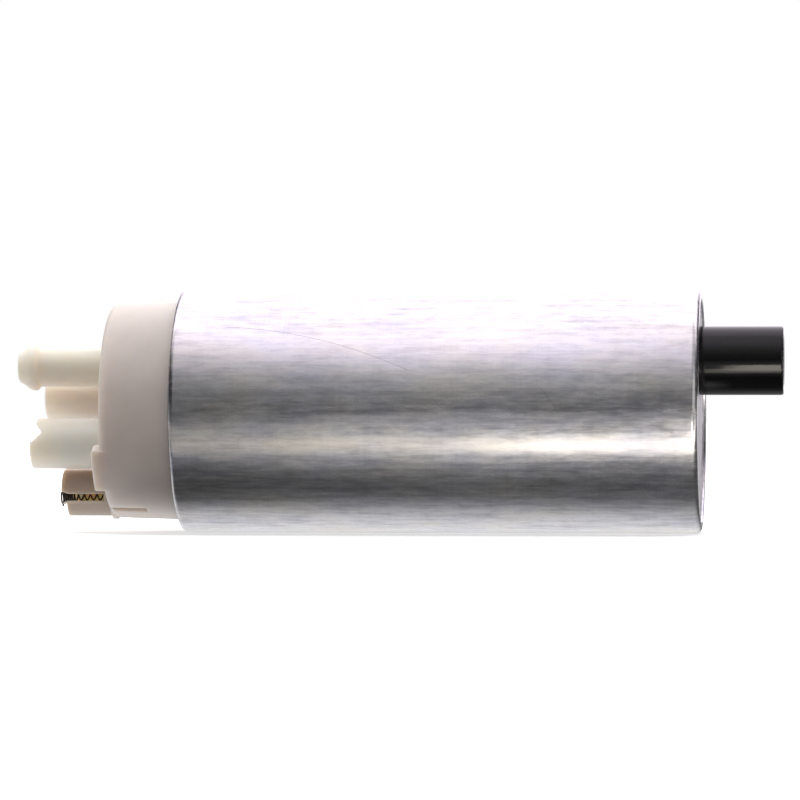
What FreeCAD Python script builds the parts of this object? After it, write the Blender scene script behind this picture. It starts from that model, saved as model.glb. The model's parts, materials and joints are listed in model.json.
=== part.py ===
import FreeCAD, Part

import math
import os

# Electric fuel pump that stands inside a fuel tank, in millimetres.
# X runs along the pump, with zero at the middle of the barrel and the inlet at the +X end.
# +Z points to the side of the outlet nipple, and -Y is the side with the slot of the relief valve.
# Angles about the pump axis are in degrees, from +Y towards +Z.

Vector = FreeCAD.Vector

# Barrel, with both ends rolled in over the stack that it holds
barrel_length = 90.9
barrel_radius = 21.5
barrel_wall = 1.4
lip_thickness = 1.1
lip_rounding = 1.0
lip_overlap = 0.75
stack_gap = 0.05

# Outlet cover: moulded cap with the nipple, two plug sockets and the relief valve boss
cap_projection = 12.55
cap_gap = 0.1
cap_draft = 0.35
cap_rounding = 1.5
cap_front_wall = 2.5
cap_side_wall = 3.75
spigot_wall = 3.05
spigot_length = 20.3
holder_ledge_depth = 3.2

# Grip segment on the rim of the cap, below the sockets
grip_height = 0.1
grip_length = 7.25
grip_start_angle = 202.0
grip_end_angle = 241.0
grip_tongue_length = 1.3
grip_tongue_depth = 3.4
grip_tongue_angle = 26.0
grip_set_back = 0.6
grip_corner_chamfer = 1.3
grip_groove_width = 1.8
grip_groove_depth = 0.5

# Outlet nipple
nipple_y = -3.0
nipple_z = 7.5
nipple_length = 16.35
nipple_radius = 3.4
nipple_bore_radius = 1.5
nipple_bore_flare = 0.15
barb_radius = 4.05
barb_nose_radius = 1.75
barb_nose_length = 2.6
barb_nose_steps = 3
barb_nose_bulge = 0.35
barb_land = 0.8
barb_back_slope = 0.8

# Sockets for the two plugs, of two sizes so that the plugs can't be swapped
small_socket_y = 5.0
small_socket_z = 2.15
small_socket_radius = 3.75
small_socket_length = 12.7
large_socket_y = -5.0
large_socket_z = -5.9
large_socket_radius = 4.4
large_socket_length = 13.5
socket_wall = 1.15
socket_floor = 1.2
socket_chamfer = 0.4
notch_set_back = 1.3
notch_lip_height = 1.0
notch_depth = 2.2
notch_vertex_drop = 2.4
notch_foot_drop = 3.9

# Contact blades in the sockets
small_blade_width = 2.8
large_blade_width = 4.8
blade_thickness = 0.8
blade_recess = 2.4
blade_tip_chamfer = 0.5
blade_gap = 0.03
contact_gap = 0.1

# Relief valve boss, with its spring showing in a slot
relief_from_rim = 4.75
relief_boss_radius = 4.15
relief_boss_length = 8.8
relief_bore_radius = 1.0
relief_bore_drop = 0.85
relief_inner_boss_radius = 2.9
relief_inner_boss_length = 4.6
relief_slot_width = 1.25
relief_slot_length = 7.6
relief_mouth_width = 2.2
relief_mouth_depth = 1.3
relief_step_drop = 1.1
relief_step_length = 1.0
relief_hook_radius = 1.75
relief_hook_length = 2.4
relief_mouth_lip = 0.35
relief_seat_length = 2.0
relief_seat_radius = 1.6
relief_seat_bore = 0.5
relief_poppet_length = 3.0
relief_poppet_gap = 0.08
relief_nose_length = 0.3

# Relief spring
relief_wire_radius = 0.16
relief_coil_radius = 0.55
relief_end_coil_radius = 1.4
relief_open_turns = 6.5
relief_flare_turns = 1.0
relief_end_turns = 0.5
relief_end_pitch = 0.85
visible_wire_sides = 6
hidden_wire_sides = 4

# Check valve behind the nipple
check_chamber_radius = 3.9
check_chamber_wall = 1.3
check_chamber_depth = 7.7
check_floor_wall = 1.0
check_seat_length = 2.0
check_seat_bore = 2.0
check_head_radius = 3.1
check_head_length = 1.5
check_nose_length = 1.2
check_nose_gap = 0.3
check_stem_radius = 1.0
check_stem_length = 1.8
check_wire_radius = 0.2
check_coil_radius = 2.6
check_turns = 2.5

# Brush holder and rear bearing
holder_thickness = 2.5
holder_gap = 0.05
holder_hub_radius = 5.0
holder_hub_rear = 3.0
holder_port_from_rim = 4.8
holder_port_half_width = 2.3
holder_port_half_angle = 38.0
bearing_radius = 3.75
rear_bearing_length = 6.0
bearing_inset = 0.4
bearing_run_gap = 0.03
brush_side_margin = 1.05
brush_height = 5.8
brush_length = 9.0
brush_gap = 0.1
brush_box_wall = 1.2
brush_box_front = 4.0
brush_spring_length = 9.0
brush_chamfer = 0.4
brush_wire_radius = 0.25
brush_coil_gap = 0.3
brush_turns = 2.0
lead_radius = 0.5
lead_hole_gap = 0.2
lead_bend_radius = 1.1
lead_sides = 6

# Interference chokes between the sockets and the brushes
choke_core_radius = 1.6
choke_core_length = 12.0
choke_winding_radius = 2.5
choke_winding_length = 9.0
choke_wall_gap = 1.4

# Motor
yoke_wall = 1.75
magnet_outer_gap = 0.05
magnet_thickness = 4.65
magnet_overhang = 2.0
magnet_half_angle = 62.0
clip_thickness = 0.8
clip_half_angle = 27.6
clip_leg_depth = 3.4
air_gap = 0.7
core_to_plate = 8.15
core_to_yoke_end = 7.85
slot_count = 8
slot_opening = 1.8
slot_tooth_width = 4.2
slot_depth = 5.3
slot_lip = 1.4
winding_slot_gap = 0.15
winding_overhang = 6.4
winding_set_in = 1.0
winding_chamfer = 1.6
collar_flange_gap = 0.2
collar_waist = 0.25
collar_flange_thickness = 1.0
shaft_radius = 2.5
shaft_flat_width = 4.1
shaft_chamfer = 0.4
shaft_fit_gap = 0.01
rotor_fit_gap = 0.02
commutator_set_in = 1.4
commutator_hub_thickness = 3.0
commutator_bar_thickness = 2.5
commutator_bar_inner_radius = 4.6
commutator_gap_to_winding = 1.6
commutator_slot_width = 0.7
commutator_collar_radius = 4.0
washer_radius = 4.1
washer_thickness = 0.5
washer_gap = 0.05

# Pump section: an inner rotor with one lobe fewer than the outer rotor that it turns
inner_lobes = 6
rotor_steps_per_lobe = 6
rotor_step_crowding = 0.85
rotor_offset = 1.5
lobe_circle_radius = 11.5
lobe_radius = 3.0
mesh_gap = 0.08
root_gap = 0.15
outer_rotor_radius = 14.2
outer_rotor_gap = 0.08
rotor_side_gap = 0.03
pump_ring_thickness = 9.0
plate_thickness = 6.0
inlet_cover_thickness = 7.0
port_inner_radius = 7.2
port_outer_radius = 10.8
port_half_angle = 62.0
inlet_port_depth = 2.75
plate_bush_length = 5.0
plate_shaft_gap = 0.3
dowel_radius = 1.5
dowel_angle = 50.0
dowel_depth = 3.0
dowel_end_gap = 0.2

# Inlet cover and sleeve
front_bearing_length = 3.0
inlet_from_rim = 11.45
sleeve_radius = 6.0
sleeve_bore_radius = 4.5
sleeve_projection = 14.2
sleeve_seat_depth = 3.5
sleeve_seat_radius = 5.5
sleeve_end_chamfer = 0.5
inlet_hole_radius = 4.2
inlet_hole_depth = 5.0
cover_pocket_from_rim = 5.45
cover_pocket_half_width = 2.2
cover_pocket_depth = 2.0
cover_pocket_half_angle = 17.0
cover_pocket_angles = (20.0, 160.0, 215.0, 325.0)

# Rubber ring in the rim groove of the outlet cover
seal_width = 2.0
seal_depth = 1.3
seal_from_flange = 5.6

# Gap that stands for a face in running or seating contact
touch_gap = 0.02

# Steps of a rounded corner in a turned outline
corner_steps = 2

# Places along the axis, worked out from the stack that the barrel clamps
bore_radius = barrel_radius - barrel_wall
stack_radius = bore_radius - stack_gap
lip_radius = bore_radius - lip_overlap
barrel_end = barrel_length / 2
stack_right = barrel_end - lip_thickness
stack_left = -stack_right
inlet_cover_back = stack_right - inlet_cover_thickness
pump_ring_back = inlet_cover_back - pump_ring_thickness
plate_back = pump_ring_back - plate_thickness
yoke_left = stack_left + spigot_length
core_right = plate_back - core_to_plate
core_left = yoke_left + core_to_yoke_end
winding_right = core_right + winding_overhang
winding_left = core_left - winding_overhang
commutator_right = winding_left - commutator_gap_to_winding
commutator_step = commutator_right - commutator_hub_thickness
commutator_face = commutator_step - commutator_bar_thickness
brush_face = commutator_face - touch_gap
brush_back = brush_face - brush_length
brush_spring_back = brush_back - brush_spring_length
brush_box_back = brush_spring_back - brush_box_wall
cap_radius = lip_radius - cap_gap
cap_face = -barrel_end - cap_projection
cap_inner_face = cap_face + cap_front_wall
holder_seat = stack_left + holder_ledge_depth
seal_left = stack_left + seal_from_flange
rear_bearing_left = holder_seat - holder_hub_rear + bearing_inset
rear_bearing_right = rear_bearing_left + rear_bearing_length
shaft_left = rear_bearing_left + bearing_inset
shaft_right = inlet_cover_back + front_bearing_length - bearing_inset
choke_x = cap_inner_face + choke_winding_radius + contact_gap
check_chamber_floor = cap_face + check_floor_wall
check_chamber_open = check_chamber_floor + check_chamber_depth
check_seat_face = check_chamber_open - check_seat_length
check_head_front = check_seat_face - touch_gap
check_head_back = check_head_front - check_head_length
relief_mouth = cap_face - relief_boss_length
relief_inner_end = cap_inner_face + relief_inner_boss_length
relief_seat_face = relief_inner_end - relief_seat_length
relief_poppet_back = relief_seat_face - relief_poppet_length
relief_spring_end = relief_mouth + relief_mouth_lip
sleeve_end = barrel_end + sleeve_projection
sleeve_seat = stack_right - sleeve_seat_depth
outer_lobes = inner_lobes + 1
yoke_inner_radius = stack_radius - yoke_wall
magnet_outer_radius = yoke_inner_radius - magnet_outer_gap
magnet_inner_radius = magnet_outer_radius - magnet_thickness
core_radius = magnet_inner_radius - air_gap
slot_outer_radius = core_radius - slot_lip
slot_inner_radius = slot_outer_radius - slot_depth
collar_flange_radius = slot_inner_radius - collar_flange_gap
collar_radius = (shaft_radius + collar_flange_radius) / 2 - collar_waist
winding_outer_radius = core_radius - winding_set_in
commutator_radius = core_radius - commutator_set_in
brush_offset = (commutator_radius + commutator_bar_inner_radius) / 2
brush_width = commutator_radius - commutator_bar_inner_radius - 2 * brush_side_margin
brush_coil_radius = brush_width / 2 - brush_wire_radius - brush_coil_gap
cap_cavity_radius = cap_radius - cap_side_wall
spigot_inner_radius = stack_radius - spigot_wall
holder_port_radius = spigot_inner_radius - holder_port_from_rim
choke_offset = cap_cavity_radius - choke_winding_radius - choke_wall_gap
relief_z = relief_from_rim - cap_radius
relief_bore_z = relief_z - relief_bore_drop
inlet_z = stack_radius - inlet_from_rim
dowel_circle_radius = (stack_radius + outer_rotor_radius - rotor_offset) / 2
cover_pocket_circle = stack_radius - cover_pocket_from_rim


def polar(x, radius, angle, y=0.0, z=0.0):
    turn = math.radians(angle)
    return Vector(x, y + radius * math.cos(turn), z + radius * math.sin(turn))


def rod(x_from, x_to, radius, y=0.0, z=0.0):
    low = min(x_from, x_to)
    return Part.makeCylinder(radius, abs(x_to - x_from), Vector(low, y, z), Vector(1, 0, 0))


def tube(x_from, x_to, outer, inner, y=0.0, z=0.0):
    return rod(x_from, x_to, outer, y, z).cut(rod(x_from, x_to, inner, y, z))


def block(x_from, x_to, y_from, y_to, z_from, z_to):
    corner = Vector(min(x_from, x_to), y_from, z_from)
    return Part.makeBox(abs(x_to - x_from), y_to - y_from, z_to - z_from, corner)


def rounded(before, corner, after, radius):
    """Points that round one corner of a turned outline, from the side before it to the side after."""
    first = Vector(before[0] - corner[0], before[1] - corner[1], 0).normalize()
    second = Vector(after[0] - corner[0], after[1] - corner[1], 0).normalize()
    half = first.getAngle(second) / 2
    tip = Vector(corner[0], corner[1], 0)
    centre = tip + (first + second).normalize() * (radius / math.sin(half))
    start = tip + first * (radius / math.tan(half)) - centre
    end = tip + second * (radius / math.tan(half)) - centre
    turn = start.getAngle(end)
    points = []
    for index in range(corner_steps + 1):
        angle = turn * index / corner_steps
        arm = (start * math.sin(turn - angle) + end * math.sin(angle)) * (1 / math.sin(turn))
        points.append((centre.x + arm.x, centre.y + arm.y))
    return points


def turned(outline, y=0.0, z=0.0):
    """Solid of revolution about a line along X, from its (x, radius) outline."""
    points = [Vector(x, y, z + radius) for x, radius in outline]
    face = Part.Face(Part.makePolygon(points + points[:1]))
    return face.revolve(Vector(0, y, z), Vector(1, 0, 0), 360)


def prism(outline, y_from, y_to):
    """Solid of constant section along Y, from its (x, z) outline."""
    points = [Vector(x, y_from, z) for x, z in outline]
    face = Part.Face(Part.makePolygon(points + points[:1]))
    return face.extrude(Vector(0, y_to - y_from, 0))


def sector(x_from, x_to, outer, inner, angle_from, angle_to):
    """Part of a ring between two angles, with radial ends."""
    angle_middle = (angle_from + angle_to) / 2
    edges = [
        Part.Arc(polar(x_from, outer, angle_from), polar(x_from, outer, angle_middle),
                 polar(x_from, outer, angle_to)).toShape(),
        Part.makeLine(polar(x_from, outer, angle_to), polar(x_from, inner, angle_to)),
        Part.Arc(polar(x_from, inner, angle_to), polar(x_from, inner, angle_middle),
                 polar(x_from, inner, angle_from)).toShape(),
        Part.makeLine(polar(x_from, inner, angle_from), polar(x_from, outer, angle_from)),
    ]
    return Part.Face(Part.Wire(edges)).extrude(Vector(x_to - x_from, 0, 0))


def kidney(x_from, x_to, outer, inner, angle_from, angle_to):
    """Curved slot between two radii, with round ends."""
    middle_radius = (outer + inner) / 2
    half_width = (outer - inner) / 2
    shape = sector(x_from, x_to, outer, inner, angle_from, angle_to)
    for angle in (angle_from, angle_to):
        end = polar(0, middle_radius, angle)
        shape = shape.fuse(rod(x_from, x_to, half_width, end.y, end.z))
    return shape.removeSplitter()


def rim_edges(shape, x, radius):
    """Round edges of one radius whose circle lies at one place along the axis."""
    found = []
    for edge in shape.Edges:
        curve = edge.Curve
        if isinstance(curve, Part.Circle) and abs(curve.Radius - radius) + abs(curve.Center.x - x) < 1e-4:
            found.append(edge)
    return found


def around(shape, count, first=0.0):
    """Copies of a shape, evenly spaced about the pump axis."""
    copies = []
    for index in range(count):
        copy = shape.copy()
        copy.rotate(Vector(0, 0, 0), Vector(1, 0, 0), first + 360.0 * index / count)
        copies.append(copy)
    return copies


def arc_through(start, corner, end):
    """Circular edge that leaves start towards the corner and reaches end from it."""
    middle = (start + end) * 0.5
    half_chord = (end - start).Length / 2
    leg = (corner - start).Length
    rise = half_chord * math.tan(math.acos(min(1.0, half_chord / leg)) / 2)
    away = corner - middle
    if away.Length < 1e-7:
        return Part.makeLine(start, end)
    return Part.Arc(start, middle + away.normalize() * rise, end).toShape()


def biarc(start, start_way, end, end_way):
    """Two arcs that join two points with the given directions, without a kink."""
    span = end - start
    ways = start_way + end_way
    spread = 2 * (1 - start_way.dot(end_way))
    along = span.dot(ways)
    if spread < 1e-9:
        reach = span.dot(span) / (2 * along)
    else:
        reach = (-along + math.sqrt(along * along + spread * span.dot(span))) / spread
    first_corner = start + start_way * reach
    second_corner = end - end_way * reach
    joint = (first_corner + second_corner) * 0.5
    return [arc_through(start, first_corner, joint), arc_through(joint, second_corner, end)]


def wire_section(start, radius, sides):
    """Many-sided section of a wire that starts along X, with the area of the round one."""
    turn = 2 * math.pi / sides
    corner_radius = radius * math.sqrt(turn / math.sin(turn))
    corners = [polar(start.x, corner_radius, 360.0 * (index + 0.5) / sides, start.y, start.z)
               for index in range(sides)]
    return Part.makePolygon(corners + corners[:1])


def wound_spring(name, x_start, x_end, y, z, wire_radius, sides, stretches):
    """One unbroken wire: a straight leg along X, the turns, and a straight leg to the far end.

    stretches lists (turns, pitch or None, coil radius at its end); a pitch of None shares
    what is left of the length. The legs run for one wire diameter, square to their seats.
    """
    way = 1.0 if x_end > x_start else -1.0
    leg = 2 * wire_radius
    bend = 1.5 * leg
    fixed = sum(turns * pitch for turns, pitch, radius in stretches if pitch)
    free_turns = sum(turns for turns, pitch, radius in stretches if not pitch)
    free_length = abs(x_end - x_start) - 2 * (leg + bend) - fixed
    free_pitch = free_length / free_turns
    knots = [(0.0, 0.0, stretches[0][2])]
    for turns, pitch, radius in stretches:
        done, height, previous = knots[-1]
        knots.append((done + turns, height + turns * (pitch or free_pitch), radius))
    all_turns = knots[-1][0]
    first_x = x_start + way * (leg + bend)
    lead_in = math.degrees(bend / knots[0][2])
    lead_out = math.degrees(bend / knots[-1][2])

    def place(turn):
        held = min(max(turn, 0.0), all_turns)
        index = max(i for i in range(len(knots) - 1) if knots[i][0] <= held + 1e-9)
        low, high = knots[index], knots[index + 1]
        share = (turn - low[0]) / (high[0] - low[0])
        height = low[1] + share * (high[1] - low[1])
        radius = low[2] + share * (high[2] - low[2])
        return polar(first_x + way * height, radius, lead_in + way * 360.0 * turn, y, z)

    def heading(turn):
        return (place(turn + 0.01) - place(turn - 0.01)).normalize()

    axial = Vector(way, 0, 0)
    halves = round(all_turns * 2)
    stations = [(place(i / 2), heading(i / 2)) for i in range(halves + 1)]
    start = polar(x_start, knots[0][2], lead_in - way * lead_in, y, z)
    end = polar(x_end, knots[-1][2], lead_in + way * (360.0 * all_turns + lead_out), y, z)
    path = [(start + axial * leg, axial)] + stations + [(end - axial * leg, axial)]
    edges = [Part.makeLine(start, path[0][0])]
    for (point, direction), (next_point, next_direction) in zip(path, path[1:]):
        edges += biarc(point, direction, next_point, next_direction)
    edges.append(Part.makeLine(path[-1][0], end))
    spine = Part.Wire(edges)
    wire = spine.makePipeShell([wire_section(start, wire_radius, sides)], True, False)
    report_wire(name, spine, wire, wire_radius, free_pitch)
    return wire


def report_wire(name, spine, wire, wire_radius, pitch):
    """Print the least gap of a wound wire to itself, and its volume against its length."""
    points = []
    for edge in spine.Edges:
        points += edge.discretize(Number=7)[:-1]
    apart = 3.5 * wire_radius
    steps = [0.0]
    for first, second in zip(points, points[1:]):
        steps.append(steps[-1] + (second - first).Length)
    least = min(
        (points[i] - points[j]).Length
        for i in range(len(points))
        for j in range(i + 1, len(points))
        if steps[j] - steps[i] > 3 * apart
    )
    drawn = math.pi * wire_radius ** 2 * spine.Length
    print(f"{name}: pitch {pitch:.3f}, least gap {least - 2 * wire_radius:.3f} mm, "
          f"volume {wire.Volume / drawn:.4f} of section times length, valid {wire.isValid()}")


def bent_lead(start, corner, end, radius, bend_radius):
    """Round lead along two straight runs with one arc between them."""
    first_way = (corner - start).normalize()
    second_way = (end - corner).normalize()
    turn = math.acos(max(-1.0, min(1.0, first_way.dot(second_way))))
    set_back = bend_radius * math.tan(turn / 2)
    arc_start = corner - first_way * set_back
    arc_end = corner + second_way * set_back
    edges = [Part.makeLine(start, arc_start), arc_through(arc_start, corner, arc_end)]
    if (end - arc_end).Length > 1e-6:
        edges.append(Part.makeLine(arc_end, end))
    return Part.Wire(edges).makePipeShell([wire_section(start, radius, lead_sides)], True, False)


def barrel():
    """Tube with both ends rolled in over the covers."""
    inner_corner = (barrel_end, lip_radius)
    right = [(stack_right, bore_radius), (stack_right, lip_radius), inner_corner]
    right += rounded(inner_corner, (barrel_end, barrel_radius), (0, barrel_radius), lip_rounding)
    left = [(-x, radius) for x, radius in reversed(right)]
    return turned(right + left)


def outlet_cover_seal():
    return tube(seal_left, seal_left + seal_width, bore_radius, stack_radius - seal_depth)


def cap_shell():
    face_corner = (cap_face, cap_radius - cap_draft)
    outline = [
        (yoke_left, spigot_inner_radius),
        (yoke_left, stack_radius),
        (stack_left, stack_radius),
        (stack_left, cap_radius),
        (-barrel_end, cap_radius),
    ]
    outline += rounded((-barrel_end, cap_radius), face_corner, (cap_face, 0), cap_rounding)
    outline += [
        (cap_face, 0),
        (cap_inner_face, 0),
        (cap_inner_face, cap_cavity_radius),
        (holder_seat, cap_cavity_radius),
        (holder_seat, spigot_inner_radius),
    ]
    return turned(outline)


def grip_segment():
    """Raised segment of the cap's rim, with a tongue past the cap face."""
    outer = cap_radius + grip_height
    pad = sector(cap_face + grip_set_back, cap_face + grip_length, outer, outer - grip_tongue_depth,
                 grip_start_angle, grip_end_angle)
    tongue_face = cap_face - grip_tongue_length
    tongue = sector(tongue_face, cap_face + grip_length, outer, outer - grip_tongue_depth,
                    grip_start_angle, grip_start_angle + grip_tongue_angle)
    corners = [edge for edge in tongue.Edges
               if abs(edge.BoundBox.XMax - tongue_face) < 1e-4 and not isinstance(edge.Curve, Part.Circle)]
    return pad.fuse(tongue.makeChamfer(grip_corner_chamfer, corners))


def grip_groove():
    """Narrow groove along the lower edge of the grip segment."""
    outer = cap_radius + 1.0
    inner = cap_radius - cap_draft - grip_groove_depth
    width = math.degrees(grip_groove_width / cap_radius)
    return sector(cap_face + grip_set_back, cap_face + grip_length, outer, inner, grip_end_angle,
                  grip_end_angle + width)


def nipple_body():
    """Hose nipple with a domed barb at its tip."""
    tip = cap_face - nipple_length
    nose_end = tip + barb_nose_length
    land_end = nose_end + barb_land
    outline = [(tip, 0)]
    for index in range(barb_nose_steps + 1):
        share = index / barb_nose_steps
        swell = share * (1 + barb_nose_bulge * (1 - share))
        outline.append((tip + barb_nose_length * share,
                        barb_nose_radius + (barb_radius - barb_nose_radius) * swell))
    outline += [
        (land_end, barb_radius),
        (land_end + barb_back_slope, nipple_radius),
        (cap_inner_face, nipple_radius),
        (cap_inner_face, 0),
    ]
    return turned(outline, nipple_y, nipple_z)


def boss(length, radius, y, z, chamfer):
    end = cap_face - length
    outline = [
        (end, 0),
        (end, radius - chamfer),
        (end + chamfer, radius),
        (cap_inner_face, radius),
        (cap_inner_face, 0),
    ]
    return turned(outline, y, z)


def socket_bore(length, radius, y, z):
    return rod(cap_face - length - 1.0, cap_face - socket_floor, radius - socket_wall, y, z)


def large_socket_notch():
    """V notch across the mouth of the large socket, under a set-back upper lip."""
    end = cap_face - large_socket_length
    top = large_socket_z + large_socket_radius
    outline = [
        (end - 1.0, top + 1.0),
        (end + notch_set_back, top + 1.0),
        (end + notch_set_back, top - notch_lip_height),
        (end + notch_depth, top - notch_vertex_drop),
        (end + notch_depth * 0.2, top - notch_foot_drop),
        (end - 1.0, top - notch_foot_drop - 0.6),
    ]
    return prism(outline, large_socket_y - large_socket_radius - 1, large_socket_y + large_socket_radius + 1)


def blade_slot(width, y, z):
    return block(cap_face - socket_floor - 1.0, cap_inner_face + 1.0,
                 y - blade_thickness / 2 - blade_gap, y + blade_thickness / 2 + blade_gap,
                 z - width / 2 - blade_gap, z + width / 2 + blade_gap)


def relief_slot():
    """Slot along the near wall of the relief valve boss, flared at its mouth."""
    middle = relief_bore_z
    half = relief_slot_width / 2
    flare = relief_mouth_width / 2
    outline = [
        (relief_mouth - 1.0, middle - flare),
        (relief_mouth, middle - flare),
        (relief_mouth + relief_mouth_depth, middle - half),
        (relief_mouth + relief_slot_length, middle - half),
        (relief_mouth + relief_slot_length, middle + half),
        (relief_mouth + relief_mouth_depth, middle + half),
        (relief_mouth, middle + flare),
        (relief_mouth - 1.0, middle + flare),
    ]
    return prism(outline, -relief_boss_radius - 1.0, 0.0)


def relief_cuts():
    """Bore of the relief valve, the groove that holds the spring's end turn, the slot and the step."""
    z = relief_bore_z
    bore = rod(relief_mouth - 1.0, relief_seat_face, relief_bore_radius, 0.0, z)
    hook = rod(relief_spring_end, relief_spring_end + relief_hook_length, relief_hook_radius, 0.0, z)
    seat = rod(relief_seat_face, relief_inner_end + 1.0, relief_seat_radius, 0.0, z)
    low = z - relief_step_drop
    step = block(relief_mouth - 1.0, relief_mouth + relief_step_length, -relief_boss_radius,
                 relief_boss_radius, low - relief_boss_radius, low)
    return [bore, hook, seat, relief_slot(), step]


def outlet_cover():
    cover = cap_shell()
    outside = [
        nipple_body(),
        boss(small_socket_length, small_socket_radius, small_socket_y, small_socket_z, socket_chamfer),
        boss(large_socket_length, large_socket_radius, large_socket_y, large_socket_z, socket_chamfer),
        boss(relief_boss_length, relief_boss_radius, 0.0, relief_z, socket_chamfer),
        grip_segment(),
    ]
    for body in outside:
        cover = cover.fuse(body)
    chamber_outer = check_chamber_radius + check_chamber_wall
    inside = [
        rod(cap_inner_face, check_chamber_open, chamber_outer, nipple_y, nipple_z),
        rod(cap_inner_face, relief_inner_end, relief_inner_boss_radius, 0.0, relief_bore_z),
    ]
    for body in inside:
        cover = cover.fuse(body)
    tip = cap_face - nipple_length
    cuts = [
        outlet_cover_seal(),
        rod(check_chamber_floor, check_chamber_open + 1.0, check_chamber_radius, nipple_y, nipple_z),
        rod(tip - 1.0, cap_inner_face, nipple_bore_radius, nipple_y, nipple_z),
        Part.makeCone(nipple_bore_radius + nipple_bore_flare, nipple_bore_radius, nipple_bore_flare,
                      Vector(tip, nipple_y, nipple_z), Vector(1, 0, 0)),
        socket_bore(small_socket_length, small_socket_radius, small_socket_y, small_socket_z),
        socket_bore(large_socket_length, large_socket_radius, large_socket_y, large_socket_z),
        large_socket_notch(),
        blade_slot(small_blade_width, small_socket_y, small_socket_z),
        blade_slot(large_blade_width, large_socket_y, large_socket_z),
        grip_groove(),
    ]
    for cut in cuts + relief_cuts():
        cover = cover.cut(cut)
    return cover.removeSplitter()


def contact_blade(width, length, y, z, way):
    """Blade that stands in a socket, with a flat tail inside the cover that reaches its choke."""
    tip = cap_face - length + blade_recess
    half = blade_thickness / 2
    blade = block(tip, cap_inner_face + blade_thickness, y - half, y + half, z - width / 2, z + width / 2)
    tip_edges = [edge for edge in blade.Edges if abs(edge.BoundBox.XMax - tip) < 1e-4
                 and edge.BoundBox.YLength < half]
    blade = blade.makeChamfer(blade_tip_chamfer * half, tip_edges)
    reach = way * (choke_offset - choke_winding_radius - contact_gap)
    tail = block(cap_inner_face, cap_inner_face + blade_thickness, min(y, reach), max(y, reach),
                 z - small_blade_width / 2, z + small_blade_width / 2)
    return blade.fuse(tail).removeSplitter()


def relief_valve_seat():
    return tube(relief_seat_face, relief_inner_end, relief_seat_radius, relief_seat_bore, 0.0,
                relief_bore_z)


def relief_valve_poppet():
    """Plunger with a cone of 45 degrees that closes the edge of the seat."""
    radius = relief_bore_radius - relief_poppet_gap
    seat_line = relief_seat_face - touch_gap
    outline = [
        (relief_poppet_back, 0),
        (relief_poppet_back, radius),
        (seat_line - radius + relief_seat_bore, radius),
        (seat_line + relief_nose_length, relief_seat_bore - relief_nose_length),
        (seat_line + relief_nose_length, 0),
    ]
    return turned(outline, 0.0, relief_bore_z)


def relief_valve_spring():
    stretches = [
        (relief_open_turns, None, relief_coil_radius),
        (relief_flare_turns, relief_end_pitch, relief_end_coil_radius),
        (relief_end_turns, relief_end_pitch, relief_end_coil_radius),
    ]
    return wound_spring("relief_valve_spring", relief_poppet_back, relief_spring_end, 0.0, relief_bore_z,
                        relief_wire_radius, visible_wire_sides, stretches)


def check_valve_seat():
    return tube(check_seat_face, check_chamber_open, check_chamber_radius, check_seat_bore,
                nipple_y, nipple_z)


def check_valve_poppet():
    """Flat head that closes the seat, a nose in the seat and a stem inside the spring."""
    nose_radius = check_seat_bore - check_nose_gap
    outline = [
        (check_head_back - check_stem_length, 0),
        (check_head_back - check_stem_length, check_stem_radius),
        (check_head_back, check_stem_radius),
        (check_head_back, check_head_radius),
        (check_head_front, check_head_radius),
        (check_head_front, nose_radius),
        (check_seat_face + check_nose_length, nose_radius / 2),
        (check_seat_face + check_nose_length, 0),
    ]
    return turned(outline, nipple_y, nipple_z)


def check_valve_spring():
    return wound_spring("check_valve_spring", check_head_back, check_chamber_floor, nipple_y, nipple_z,
                        check_wire_radius, hidden_wire_sides, [(check_turns, None, check_coil_radius)])


def brush_box(way):
    """Rectangular guide of one brush, with a back wall that its spring pushes on."""
    half_y = brush_width / 2 + brush_gap
    half_z = brush_height / 2 + brush_gap
    middle = way * brush_offset
    outer = block(brush_box_back, commutator_face - brush_box_front, middle - half_y - brush_box_wall,
                  middle + half_y + brush_box_wall, -half_z - brush_box_wall, half_z + brush_box_wall)
    hole = rod(brush_box_back - 1.0, brush_spring_back + 1.0, lead_radius + lead_hole_gap, middle, 0.0)
    pocket = block(brush_spring_back, commutator_face, middle - half_y, middle + half_y, -half_z, half_z)
    return outer, pocket.fuse(hole)


def brush_holder():
    disc = rod(holder_seat, holder_seat + holder_thickness, spigot_inner_radius - holder_gap)
    hub = rod(holder_seat - holder_hub_rear, rear_bearing_right, holder_hub_radius)
    holder = disc.fuse(hub)
    pockets = []
    for way in (-1, 1):
        outer, pocket = brush_box(way)
        holder = holder.fuse(outer)
        pockets.append(pocket)
    port_outer = holder_port_radius + holder_port_half_width
    port_inner = holder_port_radius - holder_port_half_width
    for middle in (90.0, 270.0):
        pockets.append(kidney(holder_seat - 1.0, holder_seat + holder_thickness + 1.0, port_outer, port_inner,
                              middle - holder_port_half_angle, middle + holder_port_half_angle))
    pockets.append(rod(rear_bearing_left, rear_bearing_right + 1.0, bearing_radius))
    pockets.append(rod(holder_seat - holder_hub_rear - 1.0, rear_bearing_left, shaft_radius + bearing_inset))
    for pocket in pockets:
        holder = holder.cut(pocket)
    return holder.removeSplitter()


def plain_bush(x_from, x_to):
    return tube(x_from, x_to, bearing_radius, shaft_radius + bearing_run_gap)


def brush(way):
    middle = way * brush_offset
    body = block(brush_back, brush_face, middle - brush_width / 2, middle + brush_width / 2,
                 -brush_height / 2, brush_height / 2)
    edges = [edge for edge in body.Edges if abs(edge.BoundBox.XMin - brush_back) < 1e-4
             and edge.BoundBox.XLength < 1e-4]
    return body.makeChamfer(brush_chamfer, edges)


def brush_spring(name, way):
    return wound_spring(name, brush_back, brush_spring_back, way * brush_offset, 0.0, brush_wire_radius,
                        hidden_wire_sides, [(brush_turns, None, brush_coil_radius)])


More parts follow.
